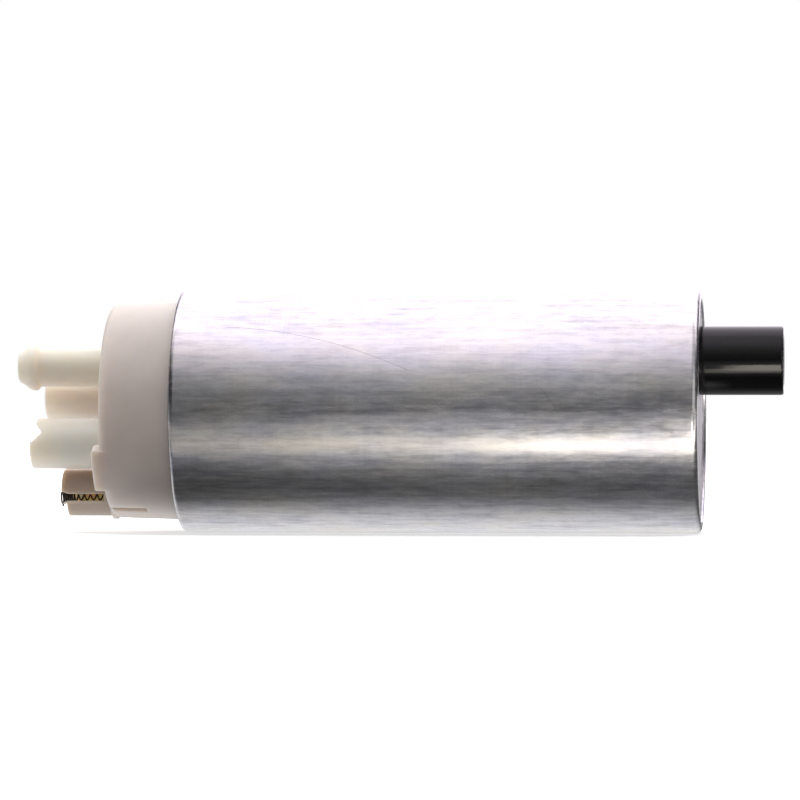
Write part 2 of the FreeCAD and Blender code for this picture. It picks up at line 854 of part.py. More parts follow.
def brush_lead(way):
    middle = way * brush_offset
    start = Vector(brush_back, middle, 0.0)
    corner = Vector(choke_x, middle, 0.0)
    end = Vector(choke_x, way * (choke_offset - choke_winding_radius), 0.0)
    return bent_lead(start, corner, end, lead_radius, lead_bend_radius)


def choke_core(way):
    low = Vector(choke_x, way * choke_offset, -choke_core_length / 2)
    return Part.makeCylinder(choke_core_radius, choke_core_length, low, Vector(0, 0, 1))


def choke_winding(way):
    low = Vector(choke_x, way * choke_offset, -choke_winding_length / 2)
    outer = Part.makeCylinder(choke_winding_radius, choke_winding_length, low, Vector(0, 0, 1))
    inner = Part.makeCylinder(choke_core_radius, choke_winding_length, low, Vector(0, 0, 1))
    return outer.cut(inner)


def flux_ring():
    return tube(yoke_left, plate_back, stack_radius, yoke_inner_radius)


def magnet(middle_angle):
    return sector(core_left - magnet_overhang, core_right + magnet_overhang, magnet_outer_radius,
                  magnet_inner_radius, middle_angle - magnet_half_angle, middle_angle + magnet_half_angle)


def magnet_clips():
    """Two spring channels that push the magnets apart against the flux ring."""
    leg_angle = math.degrees(clip_thickness / magnet_outer_radius)
    clip = sector(core_left, core_right, magnet_outer_radius, magnet_outer_radius - clip_thickness,
                  -clip_half_angle, clip_half_angle)
    leg_inner = magnet_outer_radius - clip_leg_depth
    for angle in (-clip_half_angle, clip_half_angle - leg_angle):
        leg = sector(core_left, core_right, magnet_outer_radius, leg_inner, angle, angle + leg_angle)
        clip = clip.fuse(leg)
    return Part.makeCompound(around(clip.removeSplitter(), 2))


def slot_shape(x_from, x_to, inner, outer, tooth_width, opening):
    """One winding slot at angle zero: a pocket between two teeth and its narrow mouth."""
    pitch = math.pi / slot_count
    half_inner = math.degrees(pitch - math.asin(tooth_width / 2 / inner))
    half_outer = math.degrees(pitch - math.asin(tooth_width / 2 / outer))
    corners = [polar(x_from, inner, half_inner), polar(x_from, outer, half_outer),
               polar(x_from, outer, -half_outer), polar(x_from, inner, -half_inner)]
    pocket = Part.Face(Part.makePolygon(corners + corners[:1])).extrude(Vector(x_to - x_from, 0, 0))
    if opening <= 0:
        return pocket
    mouth = block(x_from, x_to, (inner + outer) / 2, core_radius + 1.0, -opening / 2, opening / 2)
    return pocket.fuse(mouth).removeSplitter()


def armature_core():
    core = tube(core_left, core_right, core_radius, shaft_radius + shaft_fit_gap)
    slot = slot_shape(core_left, core_right, slot_inner_radius, slot_outer_radius, slot_tooth_width,
                      slot_opening)
    for copy in around(slot, slot_count):
        core = core.cut(copy)
    return core


def insulating_collar(x_core, x_end):
    """Flanged sleeve on the shaft that keeps the end turns off it."""
    bore = shaft_radius + shaft_fit_gap
    way = 1.0 if x_end > x_core else -1.0
    flange = tube(x_core, x_core + way * collar_flange_thickness, collar_flange_radius, bore)
    return flange.fuse(tube(x_core, x_end, collar_radius, bore)).removeSplitter()


def end_bundle(x_from, x_to):
    bundle = tube(x_from, x_to, winding_outer_radius, slot_inner_radius)
    free_end = x_to if x_to > core_right else x_from
    return bundle.makeChamfer(winding_chamfer, rim_edges(bundle, free_end, winding_outer_radius))


def armature_winding():
    """Copper in the slots, joined by the two bundles of end turns."""
    winding = end_bundle(core_right, winding_right).fuse(end_bundle(winding_left, core_left))
    fill = slot_shape(core_left, core_right, slot_inner_radius + winding_slot_gap,
                      slot_outer_radius - winding_slot_gap, slot_tooth_width + 2 * winding_slot_gap, 0.0)
    for copy in around(fill, slot_count):
        winding = winding.fuse(copy)
    return winding.removeSplitter()


def two_flats(x_from, x_to, radius, width):
    round_part = rod(x_from, x_to, radius)
    return round_part.common(block(x_from, x_to, -radius, radius, -width / 2, width / 2))


def shaft():
    plain = rod(shaft_left, pump_ring_back, shaft_radius)
    drive = two_flats(pump_ring_back, shaft_right, shaft_radius, shaft_flat_width)
    whole = plain.fuse(drive).removeSplitter()
    return whole.makeChamfer(shaft_chamfer, rim_edges(whole, shaft_left, shaft_radius))


def commutator_hub():
    bore = shaft_radius + shaft_fit_gap
    hub = tube(commutator_step, commutator_right, commutator_radius, bore)
    spacer_end = rear_bearing_right + 2 * washer_gap + washer_thickness
    return hub.fuse(tube(spacer_end, commutator_step, commutator_collar_radius, bore)).removeSplitter()


def commutator_bars():
    """One copper bar for each slot, parted by narrow cuts."""
    ring = tube(commutator_face, commutator_step, commutator_radius, commutator_bar_inner_radius)
    cut = block(commutator_face, commutator_step, 0.0, commutator_radius + 1.0,
                -commutator_slot_width / 2, commutator_slot_width / 2)
    for copy in around(cut, slot_count):
        ring = ring.cut(copy)
    return Part.makeCompound(ring.Solids)


def thrust_washers():
    bore = shaft_radius + washer_gap
    rear = tube(rear_bearing_right + washer_gap, rear_bearing_right + washer_gap + washer_thickness,
                washer_radius, bore)
    front_x = plate_back - washer_gap - washer_thickness
    front = tube(front_x, front_x + washer_thickness, washer_radius, bore)
    return Part.makeCompound([rear, front])


def inner_rotor():
    """Inner rotor: the lobe circles of the outer rotor roll round it and leave this outline."""
    x_from = pump_ring_back + rotor_side_gap
    x_to = inlet_cover_back - rotor_side_gap
    steps = rotor_steps_per_lobe * inner_lobes
    offset = lobe_radius + mesh_gap
    stations = []
    for index in range(steps):
        even = 2 * math.pi * index / steps
        turn = even + rotor_step_crowding / inner_lobes * math.sin(inner_lobes * even)
        far = outer_lobes * turn
        centre_y = lobe_circle_radius * math.cos(turn) + rotor_offset * math.cos(far)
        centre_z = lobe_circle_radius * math.sin(turn) + rotor_offset * math.sin(far)
        way_y = -lobe_circle_radius * math.sin(turn) - outer_lobes * rotor_offset * math.sin(far)
        way_z = lobe_circle_radius * math.cos(turn) + outer_lobes * rotor_offset * math.cos(far)
        size = math.hypot(way_y, way_z)
        point = Vector(x_from, centre_y - offset * way_z / size, centre_z + offset * way_y / size)
        stations.append((point, Vector(0, way_y / size, way_z / size)))
    edges = []
    for (point, way), (next_point, next_way) in zip(stations, stations[1:] + stations[:1]):
        edges += biarc(point, way, next_point, next_way)
    blank = Part.Face(Part.Wire(edges)).extrude(Vector(x_to - x_from, 0, 0))
    bore = two_flats(x_from - 1.0, x_to + 1.0, shaft_radius + rotor_fit_gap,
                     shaft_flat_width + 2 * rotor_fit_gap)
    return blank.cut(bore)


def outer_rotor():
    """Outer rotor: a ring with one round lobe more, about its own offset axis."""
    x_from = pump_ring_back + rotor_side_gap
    x_to = inlet_cover_back - rotor_side_gap
    root_radius = lobe_circle_radius - lobe_radius + 2 * rotor_offset + root_gap
    rotor = tube(x_from, x_to, outer_rotor_radius, root_radius, rotor_offset, 0.0)
    for index in range(outer_lobes):
        middle = polar(0, lobe_circle_radius, 360.0 * index / outer_lobes, rotor_offset, 0.0)
        rotor = rotor.fuse(rod(x_from, x_to, lobe_radius, middle.y, middle.z))
    return rotor.common(rod(x_from, x_to, outer_rotor_radius, rotor_offset, 0.0)).removeSplitter()


def dowel_places():
    return [polar(0, dowel_circle_radius, 180.0 + side * dowel_angle) for side in (-1, 1)]


def dowel_holes(x_from, x_to):
    return [rod(x_from, x_to, dowel_radius, place.y, place.z) for place in dowel_places()]


def dowel_pins():
    x_from = pump_ring_back - dowel_depth + dowel_end_gap
    x_to = inlet_cover_back + dowel_depth - dowel_end_gap
    return Part.makeCompound(dowel_holes(x_from, x_to))


def pump_ring():
    ring = rod(pump_ring_back, inlet_cover_back, stack_radius)
    pocket_radius = outer_rotor_radius + outer_rotor_gap
    ring = ring.cut(rod(pump_ring_back, inlet_cover_back, pocket_radius, rotor_offset, 0.0))
    for hole in dowel_holes(pump_ring_back, inlet_cover_back):
        ring = ring.cut(hole)
    return ring


def discharge_plate():
    plate = rod(plate_back, pump_ring_back, stack_radius)
    cuts = dowel_holes(pump_ring_back - dowel_depth, pump_ring_back + 1.0)
    cuts.append(kidney(plate_back - 1.0, pump_ring_back + 1.0, port_outer_radius, port_inner_radius,
                       270.0 - port_half_angle, 270.0 + port_half_angle))
    cuts.append(rod(plate_back - 1.0, plate_back + plate_bush_length, bearing_radius))
    cuts.append(rod(plate_back, pump_ring_back + 1.0, shaft_radius + plate_shaft_gap))
    for cut in cuts:
        plate = plate.cut(cut)
    return plate


def inlet_cover():
    cover = rod(inlet_cover_back, stack_right, stack_radius)
    hole_from = stack_right - inlet_hole_depth
    cuts = dowel_holes(inlet_cover_back - 1.0, inlet_cover_back + dowel_depth)
    cuts.append(kidney(inlet_cover_back - 1.0, inlet_cover_back + inlet_port_depth, port_outer_radius,
                       port_inner_radius, 90.0 - port_half_angle, 90.0 + port_half_angle))
    cuts.append(rod(hole_from, stack_right, inlet_hole_radius, 0.0, inlet_z))
    cuts.append(rod(sleeve_seat, stack_right + 1.0, sleeve_seat_radius, 0.0, inlet_z))
    cuts.append(rod(inlet_cover_back - 1.0, inlet_cover_back + front_bearing_length, bearing_radius))
    pocket_outer = cover_pocket_circle + cover_pocket_half_width
    pocket_inner = cover_pocket_circle - cover_pocket_half_width
    for angle in cover_pocket_angles:
        cuts.append(kidney(stack_right - cover_pocket_depth, stack_right + 1.0, pocket_outer, pocket_inner,
                           angle - cover_pocket_half_angle, angle + cover_pocket_half_angle))
    for cut in cuts:
        cover = cover.cut(cut)
    return cover.removeSplitter()


def inlet_sleeve():
    """Sleeve with a narrower end that is pressed into the inlet cover up to its shoulder."""
    sleeve = rod(sleeve_seat, stack_right, sleeve_seat_radius, 0.0, inlet_z)
    sleeve = sleeve.fuse(rod(stack_right, sleeve_end, sleeve_radius, 0.0, inlet_z))
    sleeve = sleeve.cut(rod(sleeve_seat - 1.0, sleeve_end + 1.0, sleeve_bore_radius, 0.0, inlet_z))
    rims = rim_edges(sleeve, sleeve_end, sleeve_radius) + rim_edges(sleeve, sleeve_end, sleeve_bore_radius)
    return sleeve.makeChamfer(sleeve_end_chamfer, rims)


pieces = {
    "barrel": barrel(),
    "outlet_cover": outlet_cover(),
    "outlet_cover_seal": outlet_cover_seal(),
    "large_contact_blade": contact_blade(large_blade_width, large_socket_length, large_socket_y,
                                         large_socket_z, -1),
    "small_contact_blade": contact_blade(small_blade_width, small_socket_length, small_socket_y,
                                         small_socket_z, 1),
    "relief_valve_seat": relief_valve_seat(),
    "relief_valve_poppet": relief_valve_poppet(),
    "relief_valve_spring": relief_valve_spring(),
    "check_valve_seat": check_valve_seat(),
    "check_valve_poppet": check_valve_poppet(),
    "check_valve_spring": check_valve_spring(),
    "brush_holder": brush_holder(),
    "rear_bearing": plain_bush(rear_bearing_left, rear_bearing_right),
    "flux_ring": flux_ring(),
    "upper_magnet": magnet(90.0),
    "lower_magnet": magnet(270.0),
    "magnet_clips": magnet_clips(),
    "shaft": shaft(),
    "armature_core": armature_core(),
    "rear_collar": insulating_collar(core_left, commutator_right),
    "front_collar": insulating_collar(core_right, plate_back - 2 * washer_gap - washer_thickness),
    "armature_winding": armature_winding(),
    "commutator_hub": commutator_hub(),
    "commutator_bars": commutator_bars(),
    "thrust_washers": thrust_washers(),
    "inner_rotor": inner_rotor(),
    "outer_rotor": outer_rotor(),
    "pump_ring": pump_ring(),
    "dowel_pins": dowel_pins(),
    "discharge_plate": discharge_plate(),
    "middle_bearing": plain_bush(plate_back, plate_back + plate_bush_length),
    "front_bearing": plain_bush(inlet_cover_back, inlet_cover_back + front_bearing_length),
    "inlet_cover": inlet_cover(),
    "inlet_sleeve": inlet_sleeve(),
}
for side, way in (("near", -1), ("far", 1)):
    pieces[side + "_brush"] = brush(way)
    pieces[side + "_brush_spring"] = brush_spring(side + "_brush_spring", way)
    pieces[side + "_brush_lead"] = brush_lead(way)
    pieces[side + "_choke_core"] = choke_core(way)
    pieces[side + "_choke_winding"] = choke_winding(way)

os.makedirs("parts", exist_ok=True)
for name, shape in pieces.items():
    shape.exportStep("parts/" + name + ".step")
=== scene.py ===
import json
import math

import bmesh
import bpy
from mathutils import Matrix, Vector


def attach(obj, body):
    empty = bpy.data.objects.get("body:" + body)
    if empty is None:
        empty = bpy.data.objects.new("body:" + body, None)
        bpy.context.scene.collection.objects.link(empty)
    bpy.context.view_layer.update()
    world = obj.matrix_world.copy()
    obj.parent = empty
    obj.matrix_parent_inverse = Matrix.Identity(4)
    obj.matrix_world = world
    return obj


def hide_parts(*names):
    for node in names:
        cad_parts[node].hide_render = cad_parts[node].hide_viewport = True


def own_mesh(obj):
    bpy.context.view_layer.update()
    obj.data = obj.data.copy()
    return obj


# In-tank fuel pump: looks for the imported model. Sizes in the dictionaries are in
# millimetres; X runs along the pump, +Z is the side of the outlet nipple.

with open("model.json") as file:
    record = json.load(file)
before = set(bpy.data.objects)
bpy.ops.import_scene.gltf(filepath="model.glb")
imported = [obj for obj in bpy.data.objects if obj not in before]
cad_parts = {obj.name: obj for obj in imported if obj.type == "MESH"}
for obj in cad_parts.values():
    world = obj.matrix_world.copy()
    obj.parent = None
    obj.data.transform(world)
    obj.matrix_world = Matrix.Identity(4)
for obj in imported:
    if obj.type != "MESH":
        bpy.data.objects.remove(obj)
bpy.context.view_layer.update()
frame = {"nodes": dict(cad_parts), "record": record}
mm = 0.001
fullTurn = 2 * math.pi
cornerSteps = 6      # segments of a rounded profile corner
sharpAngle = 0.9     # radians; flatter edges of a block are not rounded
overrun = 1.0        # how far a cutting tool starts outside the piece
overlap = 0.5        # how far a joined body reaches into its neighbour
sameSpot = 1e-7      # metres; points this close become one
hair = 1e-6          # metres; a looser match, where arcs meet


# small helpers for bmesh work

def metres(values):
    return [value * mm for value in values]


def drawProfile(bm, points, axisAt, closed):
    # points are (place, radius) or (place, radius, rounding) in the plane above the axis
    y, z = axisAt
    verts = [bm.verts.new((p[0] * mm, y * mm, (z + p[1]) * mm)) for p in points]
    pairs = list(zip(verts, verts[1:]))
    if closed:
        pairs.append((verts[-1], verts[0]))
    for pair in pairs:
        bm.edges.new(pair)
    for vert, point in zip(verts, points):
        if len(point) > 2:
            bmesh.ops.bevel(bm, geom=[vert], offset=point[2] * mm, offset_type="OFFSET",
                            segments=cornerSteps, profile=0.5, affect="VERTICES", material=-1)


def closeUp(bm):
    bmesh.ops.remove_doubles(bm, verts=bm.verts[:], dist=sameSpot)
    bmesh.ops.recalc_face_normals(bm, faces=bm.faces[:])
    return bm


def lathe(points, axisAt=(0.0, 0.0), steps=96, closed=False):
    # a turned shape about a line along X
    bm = bmesh.new()
    drawProfile(bm, points, axisAt, closed)
    bmesh.ops.spin(bm, geom=bm.verts[:] + bm.edges[:], cent=(0, axisAt[0] * mm, axisAt[1] * mm),
                   axis=(1, 0, 0), dvec=(0, 0, 0), angle=fullTurn, steps=steps,
                   use_merge=True, use_duplicate=False)
    return closeUp(bm)


def rod(xFrom, xTo, radius, axisAt=(0.0, 0.0), steps=64):
    return lathe([(xFrom, 0), (xFrom, radius), (xTo, radius), (xTo, 0)], axisAt, steps)


def box(xRange, yRange, zRange):
    bm = bmesh.new()
    size = [(high - low) * mm for low, high in (xRange, yRange, zRange)]
    middle = [(high + low) / 2 * mm for low, high in (xRange, yRange, zRange)]
    place = Matrix.Translation(middle) @ Matrix.Diagonal((*size, 1))
    bmesh.ops.create_cube(bm, size=1.0, matrix=place)
    return bm


def prism(outline, yFrom, yTo):
    # outline in (x, z), pushed out along Y
    bm = bmesh.new()
    verts = [bm.verts.new((x * mm, yFrom * mm, z * mm)) for x, z in outline]
    face = bm.faces.new(verts)
    made = bmesh.ops.extrude_face_region(bm, geom=[face])["geom"]
    moved = [item for item in made if isinstance(item, bmesh.types.BMVert)]
    bmesh.ops.translate(bm, verts=moved, vec=(0, (yTo - yFrom) * mm, 0))
    return closeUp(bm)


def sector(xRange, radii, angles, steps):
    # a block swept part of the way round the pump axis, in degrees from +Y towards +Z
    bm = bmesh.new()
    corners = [(xRange[0], radii[0]), (xRange[1], radii[0]),
               (xRange[1], radii[1]), (xRange[0], radii[1])]
    drawProfile(bm, corners, (0.0, 0.0), True)
    bmesh.ops.contextual_create(bm, geom=bm.edges[:])
    start = Matrix.Rotation(math.radians(angles[0] - 90), 3, "X")
    bmesh.ops.rotate(bm, verts=bm.verts[:], cent=(0, 0, 0), matrix=start)
    bmesh.ops.spin(bm, geom=bm.faces[:], cent=(0, 0, 0), axis=(1, 0, 0), dvec=(0, 0, 0),
                   angle=math.radians(angles[1] - angles[0]), steps=steps, use_merge=False,
                   use_duplicate=False)
    return closeUp(bm)


def bevelEdges(bm, width, segments, chosen=lambda edge: True):
    # rounds the sharp edges of a block that is still its own body
    sharp = [edge for edge in bm.edges if edge.calc_face_angle(0) > sharpAngle and chosen(edge)]
    bmesh.ops.bevel(bm, geom=sharp, offset=width * mm, offset_type="OFFSET", segments=segments,
                    profile=0.5, affect="EDGES", material=-1, clamp_overlap=True)
    return bm


def makeObject(name, bm):
    mesh = bpy.data.meshes.new(name)
    bm.to_mesh(mesh)
    bm.free()
    made = bpy.data.objects.new(name, mesh)
    bpy.context.scene.collection.objects.link(made)
    return made


def applied(piece):
    # the piece's modifiers become its mesh
    graph = bpy.context.evaluated_depsgraph_get()
    mesh = bpy.data.meshes.new_from_object(piece.evaluated_get(graph))
    piece.modifiers.clear()
    old = piece.data
    piece.data = mesh
    bpy.data.meshes.remove(old)
    mesh.name = piece.name
    return piece


def combine(piece, others, operation):
    for index, bm in enumerate(others):
        other = makeObject(f"tool{index}", bm)
        step = piece.modifiers.new("join", "BOOLEAN")
        step.operation = operation
        step.solver = "EXACT"
        step.object = other
        applied(piece)
        bpy.data.objects.remove(other)
    return piece


def shade(piece, degrees=32.0):
    piece.data.shade_smooth()
    piece.data.set_sharp_from_angle(angle=math.radians(degrees))
    step = piece.modifiers.new("even shading", "WEIGHTED_NORMAL")
    step.keep_sharp = True
    return piece


def settle(piece, slot, *nodes):
    piece.data.materials.clear()
    piece.data.materials.append(finishes[slot])
    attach(piece, "housing")
    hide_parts(*nodes)
    return piece


# materials

def addNode(tree, kind, inputs=None, **settings):
    made = tree.nodes.new("ShaderNode" + kind)
    for key, value in settings.items():
        setattr(made, key, value)
    for key, value in (inputs or {}).items():
        if isinstance(value, bpy.types.NodeSocket):
            tree.links.new(value, made.inputs[key])
        else:
            made.inputs[key].default_value = value
    return made


def newMaterial(name, **values):
    material = bpy.data.materials.new(name)
    material.use_nodes = True
    tree = material.node_tree
    shader = tree.nodes["Principled BSDF"]
    for key, value in values.items():
        shader.inputs[key].default_value = value
    place = addNode(tree, "TexCoord").outputs["Object"]
    return material, tree, shader, place


def noise(tree, place, stretch, detail=4.0, roughness=0.55):
    # stretch is how many waves per metre along X, Y and Z
    stretched = addNode(tree, "Mapping", {"Vector": place, "Scale": stretch}).outputs["Vector"]
    made = addNode(tree, "TexNoise", {"Vector": stretched, "Scale": 1.0, "Detail": detail,
                                      "Roughness": roughness})
    return made.outputs["Fac"]


def ramp(tree, factor, stops):
    made = addNode(tree, "ValToRGB", {"Fac": factor})
    made.color_ramp.elements.remove(made.color_ramp.elements[1])
    for index, (place, colour) in enumerate(stops):
        if index:
            stop = made.color_ramp.elements.new(place)
        else:
            stop = made.color_ramp.elements[0]
            stop.position = place
        colour = (colour,) * 3 if isinstance(colour, float) else colour
        stop.color = (*colour, 1)
    return made.outputs["Color"]


def spread(tree, factor, low, high, fromLow=0.3, fromHigh=0.7, smooth=False):
    # maps one range of a value onto another
    made = addNode(tree, "MapRange", {"Value": factor, "From Min": fromLow, "From Max": fromHigh,
                                      "To Min": low, "To Max": high})
    if smooth:
        made.interpolation_type = "SMOOTHSTEP"
    return made.outputs["Result"]


def calculate(tree, operation, *values):
    made = addNode(tree, "Math", operation=operation)
    for socket, value in zip(made.inputs, values):
        if isinstance(value, bpy.types.NodeSocket):
            tree.links.new(value, socket)
        else:
            socket.default_value = value
    return made.outputs["Value"]


def mixColour(tree, factor, first, second, blend="MIX"):
    made = addNode(tree, "Mix", data_type="RGBA", blend_type=blend)
    # inputs 6 and 7 and output 2 are the node's colour sockets
    for index, value in ((0, factor), (6, first), (7, second)):
        if isinstance(value, bpy.types.NodeSocket):
            tree.links.new(value, made.inputs[index])
        else:
            made.inputs[index].default_value = (*value, 1) if isinstance(value, tuple) else value
    return made.outputs[2]


def rampOver(tree, value, span, stops, scale=1.0):
    # a colour ramp whose stops are given in the value's own units
    low, high = span
    share = spread(tree, value, 0.0, 1.0, low, high)
    made = ramp(tree, share, [((at - low) / (high - low), float(tone) / scale) for at, tone in stops])
    return made if scale == 1.0 else mixColour(tree, 1.0, made, (scale,) * 3, "MULTIPLY")


def inMetres(pairs):
    return [(at * mm, tone) for at, tone in pairs]


def bump(tree, height, distance, normal=None):
    inputs = {"Height": height, "Distance": distance, "Strength": 1.0}
    if normal is not None:
        inputs["Normal"] = normal
    return addNode(tree, "Bump", inputs).outputs["Normal"]


def link(tree, value, shader, name):
    tree.links.new(value, shader.inputs[name])


barrelFinish = {
    "dark": (0.50, 0.50, 0.53),
    "pale": (0.80, 0.80, 0.82),
    # faint stains, as tints over the metal
    "cool": (0.95, 0.94, 1.0),
    "warm": (1.0, 0.97, 0.92),
    # each pattern: waves per metre along X, Y and Z, detail, roughness, share of the tone
    "patterns": {
        "streaks": ((60, 1100, 1100), 6.0, 0.6, 0.32),
        "fineLines": ((420, 5200, 5200), 3.0, 0.55, 0.1),
        "crosswise": ((1700, 60, 60), 3.0, 0.55, 0.05),
        "blotches": ((260, 900, 900), 5.0, 0.65, 0.33),
        "smudge": ((38, 80, 80), 4.0, 0.6, 0.2),
    },
    "toneStops": (0.4, 0.56),
    "stain": ((70, 150, 150), 4.0, 0.6),
    "stainStops": (0.36, 0.64),
    "roughness": (0.15, 0.31),
    "roughnessTone": (0.36, 0.62),
    "grainShares": [("crosswise", 0.15), ("streaks", 0.6), ("fineLines", 0.3)],
    "grainHeight": 0.000003,
    "wave": ((55, 160, 160), 2.0),
    "waveHeight": 0.0001,
    # painted shade: at mid height the tube is darker towards its ends
    "endSpan": (-47.0, 47.0),
    "endTone": [(-46.0, 0.72), (-34.0, 0.8), (-12.0, 1.0), (24.0, 1.0), (40.0, 0.86), (46.0, 0.86)],
    "endReach": (9.0, 15.0),
    "endShare": 0.999,
    # each scratch: start and end along X, start and end height, bow, half width (mm)
    "scratches": [(-35.8, -4.1, 14.3, 6.9, 1.6, 0.06), (18.7, 21.8, 3.9, -0.5, 0.25, 0.08)],
    "scratchColour": (0.16, 0.16, 0.18),
    "scratchShare": 0.75,
    "scratchEnds": 0.001,
}


def barrelMetal():
    s = barrelFinish
    material, tree, shader, place = newMaterial("satinDrawnTube", Metallic=1.0)
    layers = {}
    tone = 0.0
    for name, (stretch, detail, rough, share) in s["patterns"].items():
        layers[name] = noise(tree, place, stretch, detail, rough)
        tone = calculate(tree, "MULTIPLY_ADD", layers[name], share, tone)
    grain = 0.0
    for name, share in s["grainShares"]:
        grain = calculate(tree, "MULTIPLY_ADD", layers[name], share, grain)
    colour = ramp(tree, tone, list(zip(s["toneStops"], (s["dark"], s["pale"]))))
    stain = noise(tree, place, *s["stain"])
    tint = ramp(tree, stain, list(zip(s["stainStops"], (s["cool"], s["warm"]))))
    colour = mixColour(tree, 1.0, colour, tint, "MULTIPLY")
    parts = addNode(tree, "SeparateXYZ", {"Vector": place}).outputs
    height = calculate(tree, "ABSOLUTE", parts["Z"])
    facing = spread(tree, height, 1.0, 0.0, *metres(s["endReach"]), True)
    # painted shade: the metal's colour at mid height is darker towards the tube's ends
    paintedEndShade = rampOver(tree, parts["X"], metres(s["endSpan"]), inMetres(s["endTone"]))
    paintedEndShade = mixColour(tree, 1.0, colour, paintedEndShade, "MULTIPLY")
    colour = mixColour(tree, calculate(tree, "MULTIPLY", facing, s["endShare"]), colour, paintedEndShade)
    for scratch in s["scratches"]:
        mask = calculate(tree, "MULTIPLY", scratchMask(tree, parts, *metres(scratch)), s["scratchShare"])
        colour = mixColour(tree, mask, colour, s["scratchColour"])
    link(tree, colour, shader, "Base Color")
    roughness = spread(tree, tone, *s["roughness"], *s["roughnessTone"])
    link(tree, roughness, shader, "Roughness")
    waved = bump(tree, noise(tree, place, *s["wave"]), s["waveHeight"])
    link(tree, bump(tree, grain, s["grainHeight"], waved), shader, "Normal")
    return material


def scratchMask(tree, parts, xFrom, xTo, zFrom, zTo, bow, halfWidth):
    # a thin bowed line on the front of the tube
    along = spread(tree, parts["X"], 0.0, 1.0, xFrom, xTo)
    inside = calculate(tree, "MULTIPLY", along, calculate(tree, "SUBTRACT", 1.0, along))
    line = calculate(tree, "MULTIPLY_ADD", along, zTo - zFrom, zFrom)
    arch = calculate(tree, "MULTIPLY", inside, 4 * bow)
    off = calculate(tree, "SUBTRACT", parts["Z"], calculate(tree, "ADD", line, arch))
    near = spread(tree, calculate(tree, "ABSOLUTE", off), 1.0, 0.0, 0.0, halfWidth)
    mask = calculate(tree, "MULTIPLY", near,
                     calculate(tree, "GREATER_THAN", inside, barrelFinish["scratchEnds"]))
    return calculate(tree, "MULTIPLY", mask, calculate(tree, "LESS_THAN", parts["Y"], 0.0))


plasticFinish = {
    # painted light and shade on one plastic: the sockets and nipple painted bright as a glow of light through
    # their thin walls, the cap painted darker as shade from the dark inside behind its wall, the relief valve
    # boss painted darker as shade
    "sockets": (0.995, 0.84, 0.725),
    "cap": (0.69, 0.62, 0.585),
    "boss": (0.44, 0.36, 0.3),
    "slot": (0.93, 0.87, 0.78),
    # where one tone gives way to the next (mm)
    "capFrom": (-58.5, -57.9),
    "tongueSide": (-10.0, -10.6),
    "bossBelow": (-10.2, -10.8),
    "bossSide": (5.5, 7.0),
    "slotMiddle": -15.35,
    "slotHalf": (0.8, 1.1),
    "slotSide": (3.5, 3.8),
    "slotFrom": (-66.75, -66.6),
    "cloud": ((110, 110, 110), 3.0),
    "cloudTone": [(0.35, 0.93), (0.6, 1.0)],
    "roughness": (0.38, 0.52),
    "grain": ((3200, 3200, 3200), 2.0),
    "grainHeight": 0.000006,
    "scatter": {"Subsurface Weight": 0.9, "Subsurface Radius": (1.0, 0.8, 0.6), "Subsurface Scale": 0.004},
}


def naturalPlastic():
    s = plasticFinish
    material, tree, shader, place = newMaterial("naturalPlastic", IOR=1.5, **s["scatter"])
    parts = addNode(tree, "SeparateXYZ", {"Vector": place}).outputs
    aside = calculate(tree, "ABSOLUTE", parts["Y"])

    def within(value, key, low=0.0, high=1.0):
        return spread(tree, value, low, high, *metres(s[key]))

    isBoss = calculate(tree, "MULTIPLY", within(parts["Z"], "bossBelow"), within(aside, "bossSide", 1.0, 0.0))
    isCap = calculate(tree, "MAXIMUM", within(parts["X"], "capFrom"), within(parts["Y"], "tongueSide"))
    # the walls of the relief valve's slot are left paler than the boss's painted shade
    fromMiddle = calculate(tree, "SUBTRACT", parts["Z"], s["slotMiddle"] * mm)
    fromMiddle = calculate(tree, "ABSOLUTE", fromMiddle)
    isSlot = calculate(tree, "MULTIPLY", within(fromMiddle, "slotHalf", 1.0, 0.0),
                       within(aside, "slotSide", 1.0, 0.0))
    isSlot = calculate(tree, "MULTIPLY", isSlot, within(parts["X"], "slotFrom"))
    boss = mixColour(tree, isSlot, s["boss"], s["slot"])
    # painted glow on the sockets and nipple, painted shade on the cap and the relief valve boss
    colour = mixColour(tree, isCap, mixColour(tree, isBoss, s["sockets"], boss), s["cap"])
    cloud = noise(tree, place, *s["cloud"])
    colour = mixColour(tree, 1.0, colour, ramp(tree, cloud, s["cloudTone"]), "MULTIPLY")
    link(tree, colour, shader, "Base Color")
    link(tree, spread(tree, cloud, *s["roughness"]), shader, "Roughness")
    link(tree, bump(tree, noise(tree, place, *s["grain"]), s["grainHeight"]), shader, "Normal")
    return material


blackFinish = {
    "tones": [(0.3, (0.001, 0.001, 0.0012)), (0.7, (0.002, 0.002, 0.0022))],
    "gloss": 0.34,
    "roughness": (0.07, 0.13),
    "cloud": ((260, 260, 260), 3.0),
    "grain": ((500, 1100, 1100), 3.0),
    "grainHeight": 0.00001,
}


def blackPlastic():
    s = blackFinish
    material, tree, shader, place = newMaterial("blackMoulding")
    shader.inputs["Specular IOR Level"].default_value = s["gloss"]
    cloud = noise(tree, place, *s["cloud"])
    link(tree, ramp(tree, cloud, s["tones"]), shader, "Base Color")
    link(tree, spread(tree, cloud, *s["roughness"]), shader, "Roughness")
    link(tree, bump(tree, noise(tree, place, *s["grain"]), s["grainHeight"]), shader, "Normal")
    return material


grainStops = (0.35, 0.65)


def grained(metallic, height, name, dark, pale, roughness, stretch):
    material, tree, shader, place = newMaterial(name, Metallic=metallic)
    grain = noise(tree, place, stretch)
    link(tree, ramp(tree, grain, list(zip(grainStops, (dark, pale)))), shader, "Base Color")
    link(tree, spread(tree, grain, *roughness), shader, "Roughness")
    link(tree, bump(tree, grain, height), shader, "Normal")
    return material


def metal(*look, height=0.000004):
    return grained(1.0, height, *look)


def dull(*look, height=0.00001):
    return grained(0.0, height, *look)


